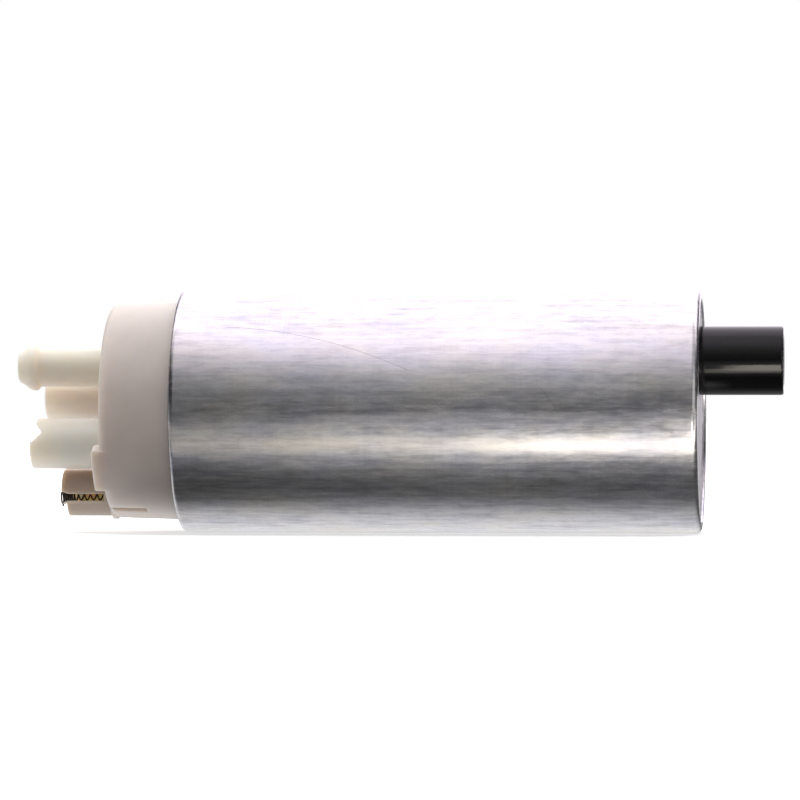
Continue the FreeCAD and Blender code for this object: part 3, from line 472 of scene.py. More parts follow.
finishes = {
    "barrel_aluminium": barrelMetal(),
    "natural_plastic": naturalPlastic(),
    "black_plastic": blackPlastic(),
    # name, dark and pale tone, roughness from and to, grain in waves per metre
    "seal_rubber": dull("sealRubber", (0.02, 0.02, 0.02), (0.045, 0.045, 0.045), (0.5, 0.7),
                        (900, 900, 900)),
    "tinned_brass": metal("tinnedBlade", (0.55, 0.52, 0.44), (0.76, 0.73, 0.66), (0.24, 0.4),
                          (300, 2600, 900)),
    "seat_brass": metal("turnedBrass", (0.6, 0.42, 0.18), (0.8, 0.6, 0.32), (0.22, 0.36),
                        (4000, 300, 300)),
    "valve_plastic": dull("valveMoulding", (0.2, 0.2, 0.21), (0.32, 0.32, 0.34), (0.4, 0.55),
                          (1500, 1500, 1500)),
    "dark_spring_steel": metal("darkSpringWire", (0.035, 0.03, 0.026), (0.1, 0.085, 0.07), (0.3, 0.45),
                               (1800, 1800, 1800)),
    "spring_steel": metal("springSteel", (0.36, 0.36, 0.38), (0.56, 0.56, 0.58), (0.25, 0.4),
                          (900, 2600, 2600)),
    "holder_plastic": dull("holderMoulding", (0.06, 0.06, 0.06), (0.12, 0.12, 0.12), (0.45, 0.6),
                           (1300, 1300, 1300)),
    "bearing_bronze": metal("sinteredBronze", (0.45, 0.3, 0.15), (0.66, 0.46, 0.26), (0.4, 0.6),
                            (3000, 3000, 3000)),
    "plain_steel": metal("plainSteel", (0.33, 0.33, 0.34), (0.5, 0.5, 0.52), (0.3, 0.45),
                         (2600, 400, 400)),
    "magnet_ferrite": dull("hardFerrite", (0.08, 0.08, 0.085), (0.15, 0.15, 0.16), (0.45, 0.65),
                           (1600, 1600, 1600)),
    "ground_steel": metal("groundSteel", (0.55, 0.55, 0.57), (0.75, 0.75, 0.77), (0.12, 0.22),
                          (6000, 300, 300)),
    "enamelled_copper": metal("enamelledCopper", (0.42, 0.16, 0.06), (0.66, 0.3, 0.13), (0.22, 0.4),
                              (700, 4200, 4200)),
    "commutator_resin": dull("mouldingResin", (0.1, 0.06, 0.035), (0.19, 0.12, 0.07), (0.4, 0.55),
                             (900, 900, 900)),
    "commutator_copper": metal("bareCopper", (0.6, 0.3, 0.18), (0.82, 0.5, 0.34), (0.2, 0.34),
                               (900, 3000, 3000)),
    "sintered_steel": metal("sinteredSteel", (0.26, 0.26, 0.27), (0.44, 0.44, 0.45), (0.35, 0.55),
                            (2800, 2800, 2800)),
    "cast_cover_metal": metal("castCover", (0.66, 0.64, 0.68), (0.86, 0.84, 0.88), (0.4, 0.6),
                              (900, 900, 900), height=0.00001),
    "brush_carbon": dull("brushCarbon", (0.03, 0.03, 0.03), (0.07, 0.07, 0.07), (0.5, 0.7),
                         (2600, 2600, 2600)),
}
for part in frame["record"]["subparts"]:
    mesh = frame["nodes"][part["node"]].data
    mesh.materials.clear()
    mesh.materials.append(finishes[part["material_slot"]])
print("finishes given to", len(frame["nodes"]), "nodes")


# barrel: drawn tube with both ends rolled in

barrelSizes = {
    "end": 45.45,
    "radius": 21.5,
    "boreRadius": 20.1,
    "lipRadius": 19.35,
    "lipStart": 44.35,
    "rounding": 1.05,
    "lipRounding": 0.3,
    "steps": 220,
}


def makeBarrel():
    s = barrelSizes
    right = [
        (s["lipStart"], s["boreRadius"]),
        (s["lipStart"], s["lipRadius"]),
        (s["end"], s["lipRadius"], s["lipRounding"]),
        (s["end"], s["radius"], s["rounding"]),
    ]
    left = [(-point[0], *point[1:]) for point in reversed(right)]
    barrel = makeObject("barrelTube", lathe(right + left, steps=s["steps"], closed=True))
    return settle(shade(barrel), "barrel_aluminium", "barrel")


makeBarrel()
print("barrel made")


# outlet cover: one moulding with the nipple, two sockets and the relief valve boss

coverSizes = {
    "face": -58.0,
    "innerFace": -55.5,
    "flange": -44.35,
    "barrelEnd": -45.45,
    "spigotEnd": -24.05,
    "rimRadius": 19.25,
    "faceRadius": 18.9,
    "rimRounding": 1.6,
    "stackRadius": 20.05,
    "spigotInner": 17.0,
    "ledge": -41.15,
    "cavityRadius": 15.5,
    "sealGroove": (-38.75, -36.75, 18.75),
    "innerRounding": 0.6,
    "steps": 160,
}
# the foot of a boss on the cover: fillet, then how far it spreads and sinks into the face
bossFoot = {"fillet": 0.45, "spread": 0.1, "sink": 0.8, "proud": 0.01, "steps": 72, "endRounding": 0.4}
nippleSizes = {
    "axis": (-3.0, 7.5),
    "tip": -74.35,
    "neckRadius": 3.4,
    # distance from the tip, radius, rounding: blunt nose, barb and the step down to the neck
    "nose": [(0, 2.3, 0.3), (0.35, 2.75, 0.25), (0.95, 3.0, 0.3), (2.35, 4.05, 0.3), (3.3, 4.05, 0.25),
             (3.85, 3.4, 0.2)],
    "boreRadius": 1.5,
    "boreFlare": 0.15,
    "boreSlack": 0.2,
    "chamberRadius": 3.9,
    "chamberWall": 1.3,
    "chamber": (-57.0, -49.3),
}
smallSocket = {
    "axis": (5.0, 2.15),
    "end": -70.7,
    "radius": 3.75,
    "boreRadius": 2.6,
    "boreRounding": 0.2,
    "floor": -59.2,
    "bladeSlot": (0.86, 2.86),
}
largeSocket = {
    "axis": (-5.0, -5.9),
    "end": -71.5,
    "radius": 4.4,
    "boreRadius": 3.25,
    "boreRounding": 0.2,
    "floor": -59.2,
    "bladeSlot": (0.86, 4.86),
    # V across the mouth under a set-back upper lip, by distance from the end and from the top
    "notch": [(-1.0, 1.0), (0.9, 1.0), (0.9, -1.0), (2.05, -2.4), (0.5, -3.9), (-1.0, -4.6)],
    "notchRange": (-10.4, 0.4),
}
reliefBoss = {
    "axis": (0.0, -14.5),
    "end": -66.8,
    "radius": 4.15,
    "boreAxis": (0.0, -15.35),
    "boreRadius": 1.0,
    "mouthRadius": 1.5,
    "hookRadius": 1.75,
    "hook": (-66.45, -64.05),
    "seatRadius": 1.6,
    "seat": (-52.9, -50.9),
    "innerRadius": 2.9,
    # the slot in its near side, which widens towards the mouth
    "slotEnd": -59.2,
    "slotHalf": 0.625,
    "slotRange": (-5.15, 0.0),
    "mouthHalf": 1.1,
    "mouthDepth": 1.3,
    # its lower edge ends short of the rest
    "stepEnd": -65.8,
    "stepHalf": 4.2,
    "stepRange": (-22.0, -16.45),
}
# a tongue of the rim that runs on past the cover's face, and the groove behind it
gripPad = {
    "tongue": (-59.3, -56.2),
    "radii": (16.2, 18.93),
    "angles": (202.0, 228.0),
    "corner": 1.3,
    "edge": 0.45,
    "steps": 18,
    "cornerSegments": 6,
    "edgeSegments": 3,
    "groove": (-59.0, -50.9),
    "grooveAngles": (243.6, 249.8),
    "grooveRadii": (18.3, 20.25),
    "grooveSteps": 4,
}


def footPoints(radius):
    # from the wall of a boss round its fillet and down into the cover's face
    foot = bossFoot
    face = coverSizes["face"] - foot["proud"]
    wide = radius + foot["fillet"] + foot["spread"]
    return [(face, radius, foot["fillet"]), (face, wide), (face + foot["sink"], wide)]


def standingTube(s, inner):
    # a boss that stands on the cover's face, turned about its own axis
    foot = footPoints(s["radius"])
    points = inner + [(s["end"], s["radius"], bossFoot["endRounding"]), *foot, (foot[-1][0], 0)]
    return lathe(points, s["axis"], bossFoot["steps"])


def socketShape(s):
    return standingTube(s, [(s["floor"], 0), (s["floor"], s["boreRadius"]),
                            (s["end"], s["boreRadius"], s["boreRounding"])])


def nippleShape():
    s = nippleSizes
    foot = footPoints(s["neckRadius"])
    points = [(foot[-1][0], s["boreRadius"]), (s["tip"] + s["boreFlare"], s["boreRadius"]),
              (s["tip"], s["boreRadius"] + s["boreFlare"])]
    points += [(s["tip"] + step, radius, rounding) for step, radius, rounding in s["nose"]]
    return lathe(points + foot, s["axis"], closed=True)


radialRun = 0.8      # an edge this much along the radius counts as radial


def tongueShape():
    # the two corners of its end are rounded first, then all its edges
    s = gripPad
    tongue = sector(s["tongue"], s["radii"], s["angles"], s["steps"])
    front = s["tongue"][0] * mm + hair     # the end face lies just before this
    middleAngle = math.radians(sum(s["angles"]) / 2)
    middle = Vector((0, math.cos(middleAngle), math.sin(middleAngle)))

    def radialCorner(edge):
        run = (edge.verts[0].co - edge.verts[1].co).normalized()
        return all(vert.co.x < front for vert in edge.verts) and abs(run.dot(middle)) > radialRun

    bevelEdges(tongue, s["corner"], s["cornerSegments"], radialCorner)
    return bevelEdges(tongue, s["edge"], s["edgeSegments"])


def slotOutline(s):
    middle, half, flare = s["boreAxis"][1], s["slotHalf"], s["mouthHalf"]
    lower = [(s["end"] - overrun, middle - flare), (s["end"], middle - flare),
             (s["end"] + s["mouthDepth"], middle - half), (s["slotEnd"], middle - half)]
    return lower + [(x, 2 * middle - z) for x, z in reversed(lower)]


def notchOutline(s):
    end, top = s["end"], s["axis"][1] + s["radius"]
    return [(end + along, top + rise) for along, rise in s["notch"]]


def bladeSlots():
    # a flat slot in the floor of each socket, through which its blade stands
    slots = []
    for s in (smallSocket, largeSocket):
        sides = [(at - size / 2, at + size / 2) for at, size in zip(s["axis"], s["bladeSlot"])]
        slots.append(box((s["floor"] - overlap, coverSizes["innerFace"] + overrun), *sides))
    return slots


def makeCover():
    s = coverSizes
    groove = s["sealGroove"]
    shell = [
        (s["face"], 0),
        (s["face"], s["faceRadius"], s["rimRounding"]),
        (s["barrelEnd"], s["rimRadius"]),
        (s["flange"], s["rimRadius"]),
        (s["flange"], s["stackRadius"]),
        (groove[0], s["stackRadius"]),
        (groove[0], groove[2]),
        (groove[1], groove[2]),
        (groove[1], s["stackRadius"]),
        (s["spigotEnd"], s["stackRadius"]),
        (s["spigotEnd"], s["spigotInner"]),
        (s["ledge"], s["spigotInner"]),
        (s["ledge"], s["cavityRadius"]),
        (s["innerFace"], s["cavityRadius"], s["innerRounding"]),
        (s["innerFace"], 0),
    ]
    cover = makeObject("outletCoverMoulding", lathe(shell, steps=s["steps"]))
    nipple, relief, large, pad = nippleSizes, reliefBoss, largeSocket, gripPad
    mouth, cutSkin = relief["end"] - overrun, 0.001
    chamberBody = nipple["chamberRadius"] + nipple["chamberWall"]
    bodies = [
        tongueShape(),
        socketShape(smallSocket),
        socketShape(large),
        standingTube(relief, [(relief["end"], 0)]),
        rod(s["innerFace"] - overlap, nipple["chamber"][1], chamberBody, nipple["axis"]),
        rod(s["innerFace"] - overlap, relief["seat"][1], relief["innerRadius"], relief["boreAxis"]),
    ]
    combine(cover, bodies, "UNION")
    throughFace = (s["face"] - overrun, s["innerFace"] + overrun)
    bore = rod(*throughFace, nipple["boreRadius"] + nipple["boreSlack"], nipple["axis"])
    combine(cover, [bore], "DIFFERENCE")
    combine(cover, [nippleShape()], "UNION")
    hookEnd = relief["hook"][0] + cutSkin
    seatStart = relief["seat"][0] - cutSkin
    cuts = [
        rod(nipple["chamber"][0], nipple["chamber"][1] + overrun, nipple["chamberRadius"], nipple["axis"]),
        rod(mouth, relief["seat"][0], relief["boreRadius"], relief["boreAxis"]),
        rod(*relief["hook"], relief["hookRadius"], relief["boreAxis"]),
        rod(mouth, hookEnd, relief["mouthRadius"], relief["boreAxis"]),
        rod(seatStart, relief["seat"][1] + overrun, relief["seatRadius"], relief["boreAxis"]),
        prism(slotOutline(relief), *relief["slotRange"]),
        box((mouth, relief["stepEnd"]), (-relief["stepHalf"], relief["stepHalf"]), relief["stepRange"]),
        prism(notchOutline(large), *large["notchRange"]),
        *bladeSlots(),
        sector(pad["groove"], pad["grooveRadii"], pad["grooveAngles"], pad["grooveSteps"]),
    ]
    combine(cover, cuts, "DIFFERENCE")
    return settle(shade(cover), "natural_plastic", "outlet_cover")


makeCover()
print("outlet cover made")


# springs and brush leads: each one a wire wound or bent step by step

reliefSpring = {
    "axis": (0.0, -15.35),
    "wire": 0.15,
    "start": -55.9,
    "firstAngle": 90.0,
    # turns, rise of one turn, coil radius at its end
    "stretches": [(1.0, 0.5, 0.5), (3.0, 1.117, 0.5), (1.0, 1.2, 0.5), (1.0, 1.15, 0.5), (1.0, 1.1, 0.5),
                  (1.0, 1.05, 0.55), (1.0, 0.75, 0.65), (4.0, 0.36, 1.1), (1.0, 0.36, 1.15), (0.5, 0.36, 1.3),
                  (0.5, 0.5, 0.75), (0.5, -0.5, 1.55)],
    "anchor": -66.45,
    "travel": 1.0,
}
checkSpring = {
    "axis": (-3.0, 7.5),
    "wire": 0.2,
    "start": -52.82,
    "firstAngle": 0.0,
    "stretches": [(0.75, 0.42, 2.6), (2.5, 1.26, 2.6), (0.75, 0.42, 2.6)],
    "anchor": -57.0,
    "travel": 1.6,
}
brushSpring = {
    "axis": (8.05, 0.0),
    "wire": 0.25,
    "start": -38.72,
    "firstAngle": 0.0,
    "stretches": [(1.0, 0.52, 1.85), (5.0, 1.492, 1.85), (1.0, 0.52, 1.85)],
    "anchor": -47.72,
    "travel": 2.0,
}
brushLead = {
    "offset": 8.05,
    "radius": 0.5,
    "start": -38.72,
    "turnAt": -52.9,
    "bend": 1.0,
    "chokeSide": 9.1,
    "travel": 2.0,
    "sides": 12,
    "straightSteps": 20,
    "bendSteps": 8,
}
wireSides = 8
stepsPerTurn = 28
wireShade = 50.0     # degrees; sharper edges of a wire stay sharp


def growWire(bm, ring, centre, axis, angle, advance, steps):
    made = bmesh.ops.spin(bm, geom=ring, cent=centre, axis=axis, dvec=advance, angle=angle, steps=steps,
                          use_merge=False, use_duplicate=False)
    return made["geom_last"]


def windWire(s):
    y, z = s["axis"]
    radius = s["stretches"][0][2]
    angle = math.radians(s["firstAngle"])
    bm = bmesh.new()
    place = (Matrix.Translation(metres((s["start"] - s["wire"], y, z))) @ Matrix.Rotation(angle, 4, "X")
             @ Matrix.Translation((0, radius * mm, 0)))
    bmesh.ops.create_circle(bm, cap_ends=False, segments=wireSides, radius=s["wire"] * mm, matrix=place)
    ring = bm.verts[:] + bm.edges[:]
    centre = metres((0, y, z))
    for turns, rise, endRadius in s["stretches"]:
        steps = max(1, round(turns * stepsPerTurn))
        step = -fullTurn * turns / steps
        growth = (endRadius - radius) / steps
        advance = (-rise * turns / steps * mm, 0, 0)
        for index in range(steps):
            ring = growWire(bm, ring, centre, (1, 0, 0), step, advance, 1)
            angle += step
            if growth:
                outward = Vector((0, math.cos(angle), math.sin(angle))) * growth * mm
                moved = [item for item in ring if isinstance(item, bmesh.types.BMVert)]
                bmesh.ops.translate(bm, verts=moved, vec=outward)
        radius = endRadius
    bmesh.ops.holes_fill(bm, edges=bm.edges[:], sides=0)
    return closeUp(bm)


def springPiece(name, s, slot, node):
    spring = settle(shade(makeObject(name, windWire(s)), wireShade), slot, node)
    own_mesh(spring)


def leadPiece(name, way, node):
    # straight back from the brush, round a bend and out to the choke
    s = brushLead
    bm = bmesh.new()
    place = Matrix.Translation(metres((s["start"], way * s["offset"], 0)))
    place @= Matrix.Rotation(math.pi / 2, 4, "Y")
    bmesh.ops.create_circle(bm, cap_ends=False, segments=s["sides"], radius=s["radius"] * mm, matrix=place)
    ring = bm.verts[:] + bm.edges[:]
    run = s["start"] - s["turnAt"] - s["bend"]
    advance = (-run / s["straightSteps"] * mm, 0, 0)
    ring = growWire(bm, ring, (0, 0, 0), (0, 0, 1), 0.0, advance, s["straightSteps"])
    corner = metres((s["turnAt"] + s["bend"], way * (s["offset"] + s["bend"]), 0))
    ring = growWire(bm, ring, corner, (0, 0, 1), -way * math.pi / 2, (0, 0, 0), s["bendSteps"])
    advance = (0, way * (s["chokeSide"] - s["offset"] - s["bend"]) * mm, 0)
    growWire(bm, ring, (0, 0, 0), (0, 0, 1), 0.0, advance, 1)
    bmesh.ops.holes_fill(bm, edges=bm.edges[:], sides=0)
    lead = settle(shade(makeObject(name, closeUp(bm)), wireShade), "commutator_copper", node)
    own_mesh(lead)


springPiece("reliefSpringWire", reliefSpring, "dark_spring_steel", "relief_valve_spring")
springPiece("checkSpringWire", checkSpring, "spring_steel", "check_valve_spring")
for side, way in (("near", -1), ("far", 1)):
    placed = dict(brushSpring, axis=(way * brushSpring["axis"][0], 0.0))
    springPiece(side + "BrushSpringWire", placed, "spring_steel", side + "_brush_spring")
    leadPiece(side + "BrushLeadWire", way, side + "_brush_lead")
print("springs and leads made")


# inlet cover: pale die casting inside the rolled lip, with four kidney pockets round the inlet hole

castingSizes = {
    "back": 37.35,
    "flange": 44.35,
    "face": 45.05,
    "stackRadius": 20.05,
    "faceRadius": 19.05,
    "edge": 0.35,
    "pocketCircle": 14.6,
    "pocketHalf": 2.2,
    "pocketFloor": 42.6,
    "pocketHalfAngle": 17.0,
    "pocketAngles": (20.0, 160.0, 215.0, 325.0),
    "inletHole": (39.35, 4.2),
    "sleeveSeat": (40.85, 5.5),
    "sleeveFoot": 6.02,
    "bearingSeat": (40.35, 3.75),
    "pocketRounding": 0.6,
    "roundingSegments": 4,
    # floor, inner and outer radius, half angle
    "port": (40.1, 7.2, 10.8, 62.0),
    "portAngle": 90.0,
    # floor, radius, circle, angles
    "dowels": (40.35, 1.5, 16.375, (130.0, 230.0)),
    "inletZ": 8.6,
    "backRounding": 0.2,
    "holeSteps": 72,
    "dowelSteps": 32,
    "arcSteps": 16,
    "endSteps": 14,
    "steps": 160,
}


def kidneyCut(mouth, floor, circle, half, middle, halfAngle, rounding=0.0):
    # a curved slot, its outline swept along the outer arc, a round end, the inner arc and the other end
    s = castingSizes
    bm = bmesh.new()
    first, last = math.radians(middle - halfAngle), math.radians(middle + halfAngle)
    corner = circle + half
    ring = [bm.verts.new(metres((mouth, corner * math.cos(first), corner * math.sin(first))))]
    atLast, atFirst = [metres((0, circle * math.cos(turn), circle * math.sin(turn)))
                       for turn in (last, first)]
    hub = (0, 0, 0)
    for centre, turn, steps in ((hub, last - first, s["arcSteps"]), (atLast, math.pi, s["endSteps"]),
                                (hub, first - last, s["arcSteps"]), (atFirst, math.pi, s["endSteps"])):
        ring = growWire(bm, ring, centre, (1, 0, 0), turn, (0, 0, 0), steps)
    bmesh.ops.remove_doubles(bm, verts=bm.verts[:], dist=hair)
    bmesh.ops.contextual_create(bm, geom=bm.edges[:])
    made = bmesh.ops.extrude_face_region(bm, geom=bm.faces[:])["geom"]
    moved = [item for item in made if isinstance(item, bmesh.types.BMVert)]
    bmesh.ops.translate(bm, verts=moved, vec=((floor - mouth) * mm, 0, 0))
    closeUp(bm)

    def onFloor(edge):
        return all(abs(vert.co.x - floor * mm) < sameSpot for vert in edge.verts)

    return bevelEdges(bm, rounding, s["roundingSegments"], onFloor) if rounding else bm


def makeInletCover():
    s = castingSizes
    outline = [
        (s["back"], 0),
        (s["back"], s["stackRadius"], s["backRounding"]),
        (s["flange"], s["stackRadius"]),
        (s["flange"], s["faceRadius"]),
        (s["face"], s["faceRadius"], s["edge"]),
        (s["face"], 0),
    ]
    casting = makeObject("inletCoverCasting", lathe(outline, steps=s["steps"]))
    inletAxis = (0.0, s["inletZ"])
    front, back = s["face"] + overrun, s["back"] - overrun
    cuts = [
        rod(s["inletHole"][0], front, s["inletHole"][1], inletAxis, s["holeSteps"]),
        rod(s["sleeveSeat"][0], front, s["sleeveSeat"][1], inletAxis, s["holeSteps"]),
        rod(s["flange"], front, s["sleeveFoot"], inletAxis, s["holeSteps"]),
        rod(back, *s["bearingSeat"]),
    ]
    for angle in s["pocketAngles"]:
        cuts.append(kidneyCut(front, s["pocketFloor"], s["pocketCircle"], s["pocketHalf"], angle,
                              s["pocketHalfAngle"], s["pocketRounding"]))
    depth, inner, outer, halfAngle = s["port"]
    cuts.append(kidneyCut(back, depth, (outer + inner) / 2, (outer - inner) / 2, s["portAngle"], halfAngle))
    depth, radius, circle, angles = s["dowels"]
    for turn in map(math.radians, angles):
        place = (circle * math.cos(turn), circle * math.sin(turn))
        cuts.append(rod(back, depth, radius, place, s["dowelSteps"]))
    combine(casting, cuts, "DIFFERENCE")
    return settle(shade(casting), "cast_cover_metal", "inlet_cover")


makeInletCover()
print("inlet cover made")


# inlet sleeve: black moulding pressed into the inlet cover up to its shoulder

sleeveSizes = {
    "axis": (0.0, 8.6),
    "seat": 40.85,
    "shoulder": 44.35,
    "end": 59.65,
    "seatRadius": 5.5,
    "radius": 6.0,
    "boreRadius": 4.5,
    "rounding": 0.42,
    "boreRounding": 0.3,
    "innerRounding": 0.2,
    "seatRounding": 0.3,
    "shoulderRounding": 0.15,
    "steps": 128,
}


def makeSleeve():
    s = sleeveSizes
    points = [
        (s["seat"], s["boreRadius"], s["innerRounding"]),
        (s["end"], s["boreRadius"], s["boreRounding"]),
        (s["end"], s["radius"], s["rounding"]),
        (s["shoulder"], s["radius"], s["shoulderRounding"]),
        (s["shoulder"], s["seatRadius"]),
        (s["seat"], s["seatRadius"], s["seatRounding"]),
    ]
    sleeve = makeObject("inletSleeveTube", lathe(points, s["axis"], s["steps"], closed=True))
    return settle(shade(sleeve), "black_plastic", "inlet_sleeve")


makeSleeve()
print("inlet sleeve made")


# floor, background and light

studio = {
    "floorHeight": -21.52,
    "floorSize": 8.0,
    "floorColour": 0.66,
    # what the camera adds to the floor's own tone, so that it meets the white behind (m)
    "floorGlow": {"near": 0.5, "far": 1.0, "from": 0.05, "to": 0.6},
    # metres; the room stands in for it in the metal, without its hard edge
    "overhead": {"place": (0.0, 0.12, 0.5), "size": (1.3, 0.8), "power": 4.5,
                 "colour": (1.0, 0.985, 0.97)},
    # the floor as the pump sees it: light strength by place, with the pump's painted shadow close to it,
    # behind is plus (mm)
    "floorBands": [(-700, 0.24), (-400, 0.29), (-230, 0.37), (-104, 0.46), (-68, 0.5), (-51, 0.55),
                   (-41, 0.55), (-34, 0.45), (-28.7, 0.32), (-24.6, 0.19), (-21, 0.125), (-18, 0.105),
                   (-15.4, 0.14), (-12.9, 0.3), (-10.5, 0.57), (-7.8, 0.77), (-4.6, 0.98), (-2.0, 0.9),
                   (4, 0.3), (60, 0.3), (200, 0.9)],
    "floorBandSpan": (-720.0, 220.0),
    # the far floor is darker towards the left
    "farFade": {"from": -55.0, "to": -90.0, "along": [(-80, 0.45), (-50, 0.7), (-15, 1.0), (60, 1.15)],
                "span": (-90.0, 70.0)},
    # the painted shadow close to the pump is darker at the left
    "nearFade": {"bands": [(-37.0, 0.0), (-31.0, 1.0), (-14.0, 1.0), (-10.0, 0.0)],
                 "along": [(-50, 0.6), (-20, 0.88), (10, 1.0), (40, 0.88)], "span": (-60.0, 60.0)},
    # shade under the inlet sleeve
    "sleeveShade": {"from": 45.0, "to": 50.0, "bands": [(-30.0, 0.0), (-20.0, 1.0), (3.0, 1.0), (16.0, 0.0)],
                    "tone": 0.1},
    "leftEnd": {"from": -52.0, "to": -62.0, "tone": 0.9, "behind": (-32.0, -16.0)},
    # a warm bright strip on the floor in front of the pump
    "strip": {"middle": -47.5, "half": 10.5, "soft": 4.0, "colour": (1.0, 0.94, 0.85),
              "along": [(-80, 0.55), (-40, 0.72), (-30, 0.78), (-15, 0.95), (0, 1.12), (10, 1.6), (18, 2.1),
                        (38, 2.2), (48, 2.8), (90, 3.0)], "span": (-80.0, 100.0), "scale": 5.0},
    # a brighter patch beside it, in front of the inlet sleeve
    "card": {"run": [(46.0, 0.0), (50.0, 1.0), (64.0, 1.0), (70.0, 0.0)],
             "bands": [(-125.0, 0.0), (-100.0, 1.0), (-52.0, 1.0), (-42.0, 0.0)], "tone": 6.5,
             "colour": (1.0, 0.92, 0.83)},
    # the room in front: strength by the sine of the height angle, and its fall towards both ends
    "frontBands": [(0.0, 0.2), (0.16, 0.29), (0.29, 0.36), (0.41, 0.5), (0.53, 0.71), (0.64, 0.95),
                   (0.74, 1.28), (0.83, 1.66), (0.91, 1.95)],
    "sideFall": [(-0.16, 0.75), (-0.105, 1.0), (-0.07, 1.0), (-0.045, 0.7), (0.05, 0.45), (0.2, 0.45)],
    "behindFrom": (-0.05, 0.1),
    # what only the metal sees: the upper room's tint, the white behind and the sides, which are
    # dark behind both ends and in front at the left, and pale in front at the right
    "upperTint": {"from": 0.5, "to": 0.75, "colour": (1.0, 0.925, 1.0)},
    "behindGlow": (1.75, 1.62, 1.78),
    "sides": {"outward": (0.22, 0.45), "below": (0.4, 0.7), "frontward": (-0.45, -0.2), "dark": 0.06,
              "rightFront": 0.75},
}


def bandMask(tree, value, bands):
    # 0 to 1 and back over four places on the floor
    span = [bands[0][0] * mm, bands[-1][0] * mm]
    return rampOver(tree, value, span, inMetres(bands))


def floorBands(tree, parts):
    # the floor as the pump sees it: bands along the pump, a bright left end, the strip and the patch
    s = studio
    bands = rampOver(tree, parts["Y"], metres(s["floorBandSpan"]), inMetres(s["floorBands"]))
    far = s["farFade"]
    fall = rampOver(tree, parts["X"], metres(far["span"]), inMetres(far["along"]))
    reach = spread(tree, parts["Y"], 0.0, 1.0, far["from"] * mm, far["to"] * mm)
    bands = mixColour(tree, reach, bands, fall, "MULTIPLY")
    near = s["nearFade"]
    fall = rampOver(tree, parts["X"], metres(near["span"]), inMetres(near["along"]))
    bands = mixColour(tree, bandMask(tree, parts["Y"], near["bands"]), bands, fall, "MULTIPLY")
    shade = s["sleeveShade"]
    under = calculate(tree, "MULTIPLY", bandMask(tree, parts["Y"], shade["bands"]),
                      spread(tree, parts["X"], 0.0, 1.0, shade["from"] * mm, shade["to"] * mm))
    bands = mixColour(tree, under, bands, (shade["tone"],) * 3)
    left = s["leftEnd"]
    leftward = spread(tree, parts["X"], 0.0, 1.0, left["from"] * mm, left["to"] * mm)
    leftward = calculate(tree, "MULTIPLY", leftward,
                         spread(tree, parts["Y"], 0.0, 1.0, *metres(left["behind"])))
    bands = mixColour(tree, leftward, bands, (left["tone"],) * 3)
    strip = s["strip"]
    off = calculate(tree, "ABSOLUTE", calculate(tree, "SUBTRACT", parts["Y"], strip["middle"] * mm))
    edge = metres((strip["half"] - strip["soft"], strip["half"] + strip["soft"]))
    cover = spread(tree, off, 1.0, 0.0, *edge, True)
    warm = rampOver(tree, parts["X"], metres(strip["span"]), inMetres(strip["along"]), strip["scale"])
    warm = mixColour(tree, 1.0, warm, strip["colour"], "MULTIPLY")
    bands = mixColour(tree, cover, bands, warm)
    card = s["card"]
    lit = calculate(tree, "MULTIPLY", bandMask(tree, parts["Y"], card["bands"]),
                    bandMask(tree, parts["X"], card["run"]))
    return mixColour(tree, lit, bands, tuple(card["tone"] * part for part in card["colour"]))


def makeFloor():
    bm = bmesh.new()
    bmesh.ops.create_grid(bm, x_segments=1, y_segments=1, size=studio["floorSize"] / 2,
                          matrix=Matrix.Translation((0, 0, studio["floorHeight"] * mm)))
    floor = makeObject("floor", bm)
    material = bpy.data.materials.new("paleFloor")
    material.use_nodes = True
    tree = material.node_tree
    tree.nodes.clear()
    parts = addNode(tree, "SeparateXYZ", {"Vector": addNode(tree, "TexCoord").outputs["Object"]}).outputs
    rays = addNode(tree, "LightPath").outputs
    tone = studio["floorColour"]
    card = addNode(tree, "BsdfDiffuse", {"Color": (tone, tone, tone, 1)})
    s = studio["floorGlow"]
    distance = spread(tree, parts["Y"], s["near"], s["far"], s["from"], s["to"])
    glow = addNode(tree, "Emission", {"Color": (1, 1, 1, 1), "Strength": distance})
    seen = addNode(tree, "AddShader")
    tree.links.new(card.outputs[0], seen.inputs[0])
    tree.links.new(glow.outputs[0], seen.inputs[1])
    mirrored = addNode(tree, "Emission", {"Color": floorBands(tree, parts)})
    both = addNode(tree, "MixShader", {"Fac": rays["Is Camera Ray"]})
    tree.links.new(mirrored.outputs[0], both.inputs[1])
    tree.links.new(seen.outputs[0], both.inputs[2])
    out = addNode(tree, "OutputMaterial")
    tree.links.new(both.outputs[0], out.inputs["Surface"])
    floor.data.materials.append(material)


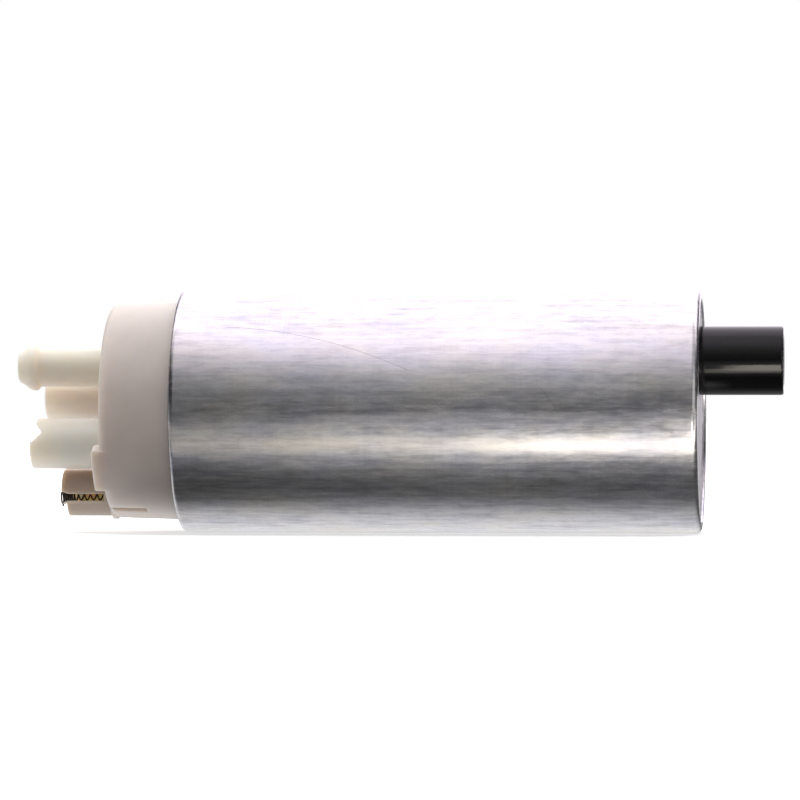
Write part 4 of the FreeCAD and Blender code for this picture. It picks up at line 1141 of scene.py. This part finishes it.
def makeWorld():
    world = bpy.data.worlds.new("studio")
    bpy.context.scene.world = world
    world.use_nodes = True
    tree = world.node_tree
    tree.nodes.clear()
    parts = addNode(tree, "SeparateXYZ", {"Vector": addNode(tree, "TexCoord").outputs["Generated"]}).outputs
    rays = addNode(tree, "LightPath").outputs
    s = studio
    white = (1.0, 1.0, 1.0)
    front = ramp(tree, parts["Z"], s["frontBands"])
    span = (s["sideFall"][0][0], s["sideFall"][-1][0])
    fall = rampOver(tree, parts["X"], span, s["sideFall"])
    front = mixColour(tree, 1.0, front, fall, "MULTIPLY")
    behind = spread(tree, parts["Y"], 0.0, 1.0, *s["behindFrom"])
    room = mixColour(tree, behind, front, white)
    # the room as the metal sees it
    upper = s["upperTint"]
    tint = mixColour(tree, spread(tree, parts["Z"], 0.0, 1.0, upper["from"], upper["to"]), white,
                     upper["colour"])
    tinted = mixColour(tree, 1.0, front, tint, "MULTIPLY")
    mirrored = mixColour(tree, behind, tinted, s["behindGlow"])
    side = s["sides"]
    outward = spread(tree, calculate(tree, "ABSOLUTE", parts["X"]), 0.0, 1.0, *side["outward"])
    low = calculate(tree, "MULTIPLY", outward, spread(tree, parts["Z"], 1.0, 0.0, *side["below"]))
    pale = calculate(tree, "MULTIPLY", calculate(tree, "GREATER_THAN", parts["X"], 0.0),
                     spread(tree, parts["Y"], 1.0, 0.0, *side["frontward"]))
    sideTone = spread(tree, pale, side["dark"], side["rightFront"], 0.0, 1.0)
    mirrored = mixColour(tree, low, mirrored, sideTone)
    room = mixColour(tree, rays["Is Glossy Ray"], room, mirrored)
    seen = mixColour(tree, rays["Is Camera Ray"], room, white)
    back = addNode(tree, "Background", {"Color": seen, "Strength": 1.0})
    out = addNode(tree, "OutputWorld")
    tree.links.new(back.outputs[0], out.inputs["Surface"])


def makeLamp(name, place, size, power, colour):
    lamp = bpy.data.lights.new(name, "AREA")
    lamp.shape = "RECTANGLE"
    lamp.size, lamp.size_y = size
    lamp.energy = power
    lamp.color = colour
    holder = bpy.data.objects.new(name, lamp)
    holder.location = place
    holder.rotation_euler = (-Vector(place)).to_track_quat("-Z", "Y").to_euler()     # aims at the origin
    holder.visible_glossy = False
    bpy.context.scene.collection.objects.link(holder)


makeFloor()
makeWorld()
makeLamp("overheadSoftbox", **studio["overhead"])
print("floor, room and lamp set")


# camera: a long lens nearly square on

view = {
    "turn": 5.8,        # degrees round from square on, towards the inlet end
    "distance": 0.82,
    "lens": 210.86,
    # where the middle of the barrel lies in the 800 pixel frame
    "barrelAt": (442.0, 410.0),
    "imageSize": 800.0,
    "sensor": 36.0,
    "clipEnd": 50,
}


def makeCamera():
    turn = math.radians(view["turn"])
    back = Vector((math.sin(turn), -math.cos(turn), 0))
    right = Vector((math.cos(turn), math.sin(turn), 0))
    up = back.cross(right)
    perPixel = view["sensor"] / view["lens"] * view["distance"] / view["imageSize"]
    half = view["imageSize"] / 2
    aim = right * (half - view["barrelAt"][0]) * perPixel - up * (half - view["barrelAt"][1]) * perPixel
    data = bpy.data.cameras.new("camera")
    data.sensor_width = view["sensor"]
    data.lens = view["lens"]
    data.clip_end = view["clipEnd"]
    camera = bpy.data.objects.new("camera", data)
    camera.location = aim + back * view["distance"]
    camera.rotation_euler = (-back).to_track_quat("-Z", "Y").to_euler()
    bpy.context.scene.collection.objects.link(camera)
    bpy.context.scene.camera = camera


makeCamera()
bpy.context.scene.view_settings.view_transform = "Standard"
print("camera set")
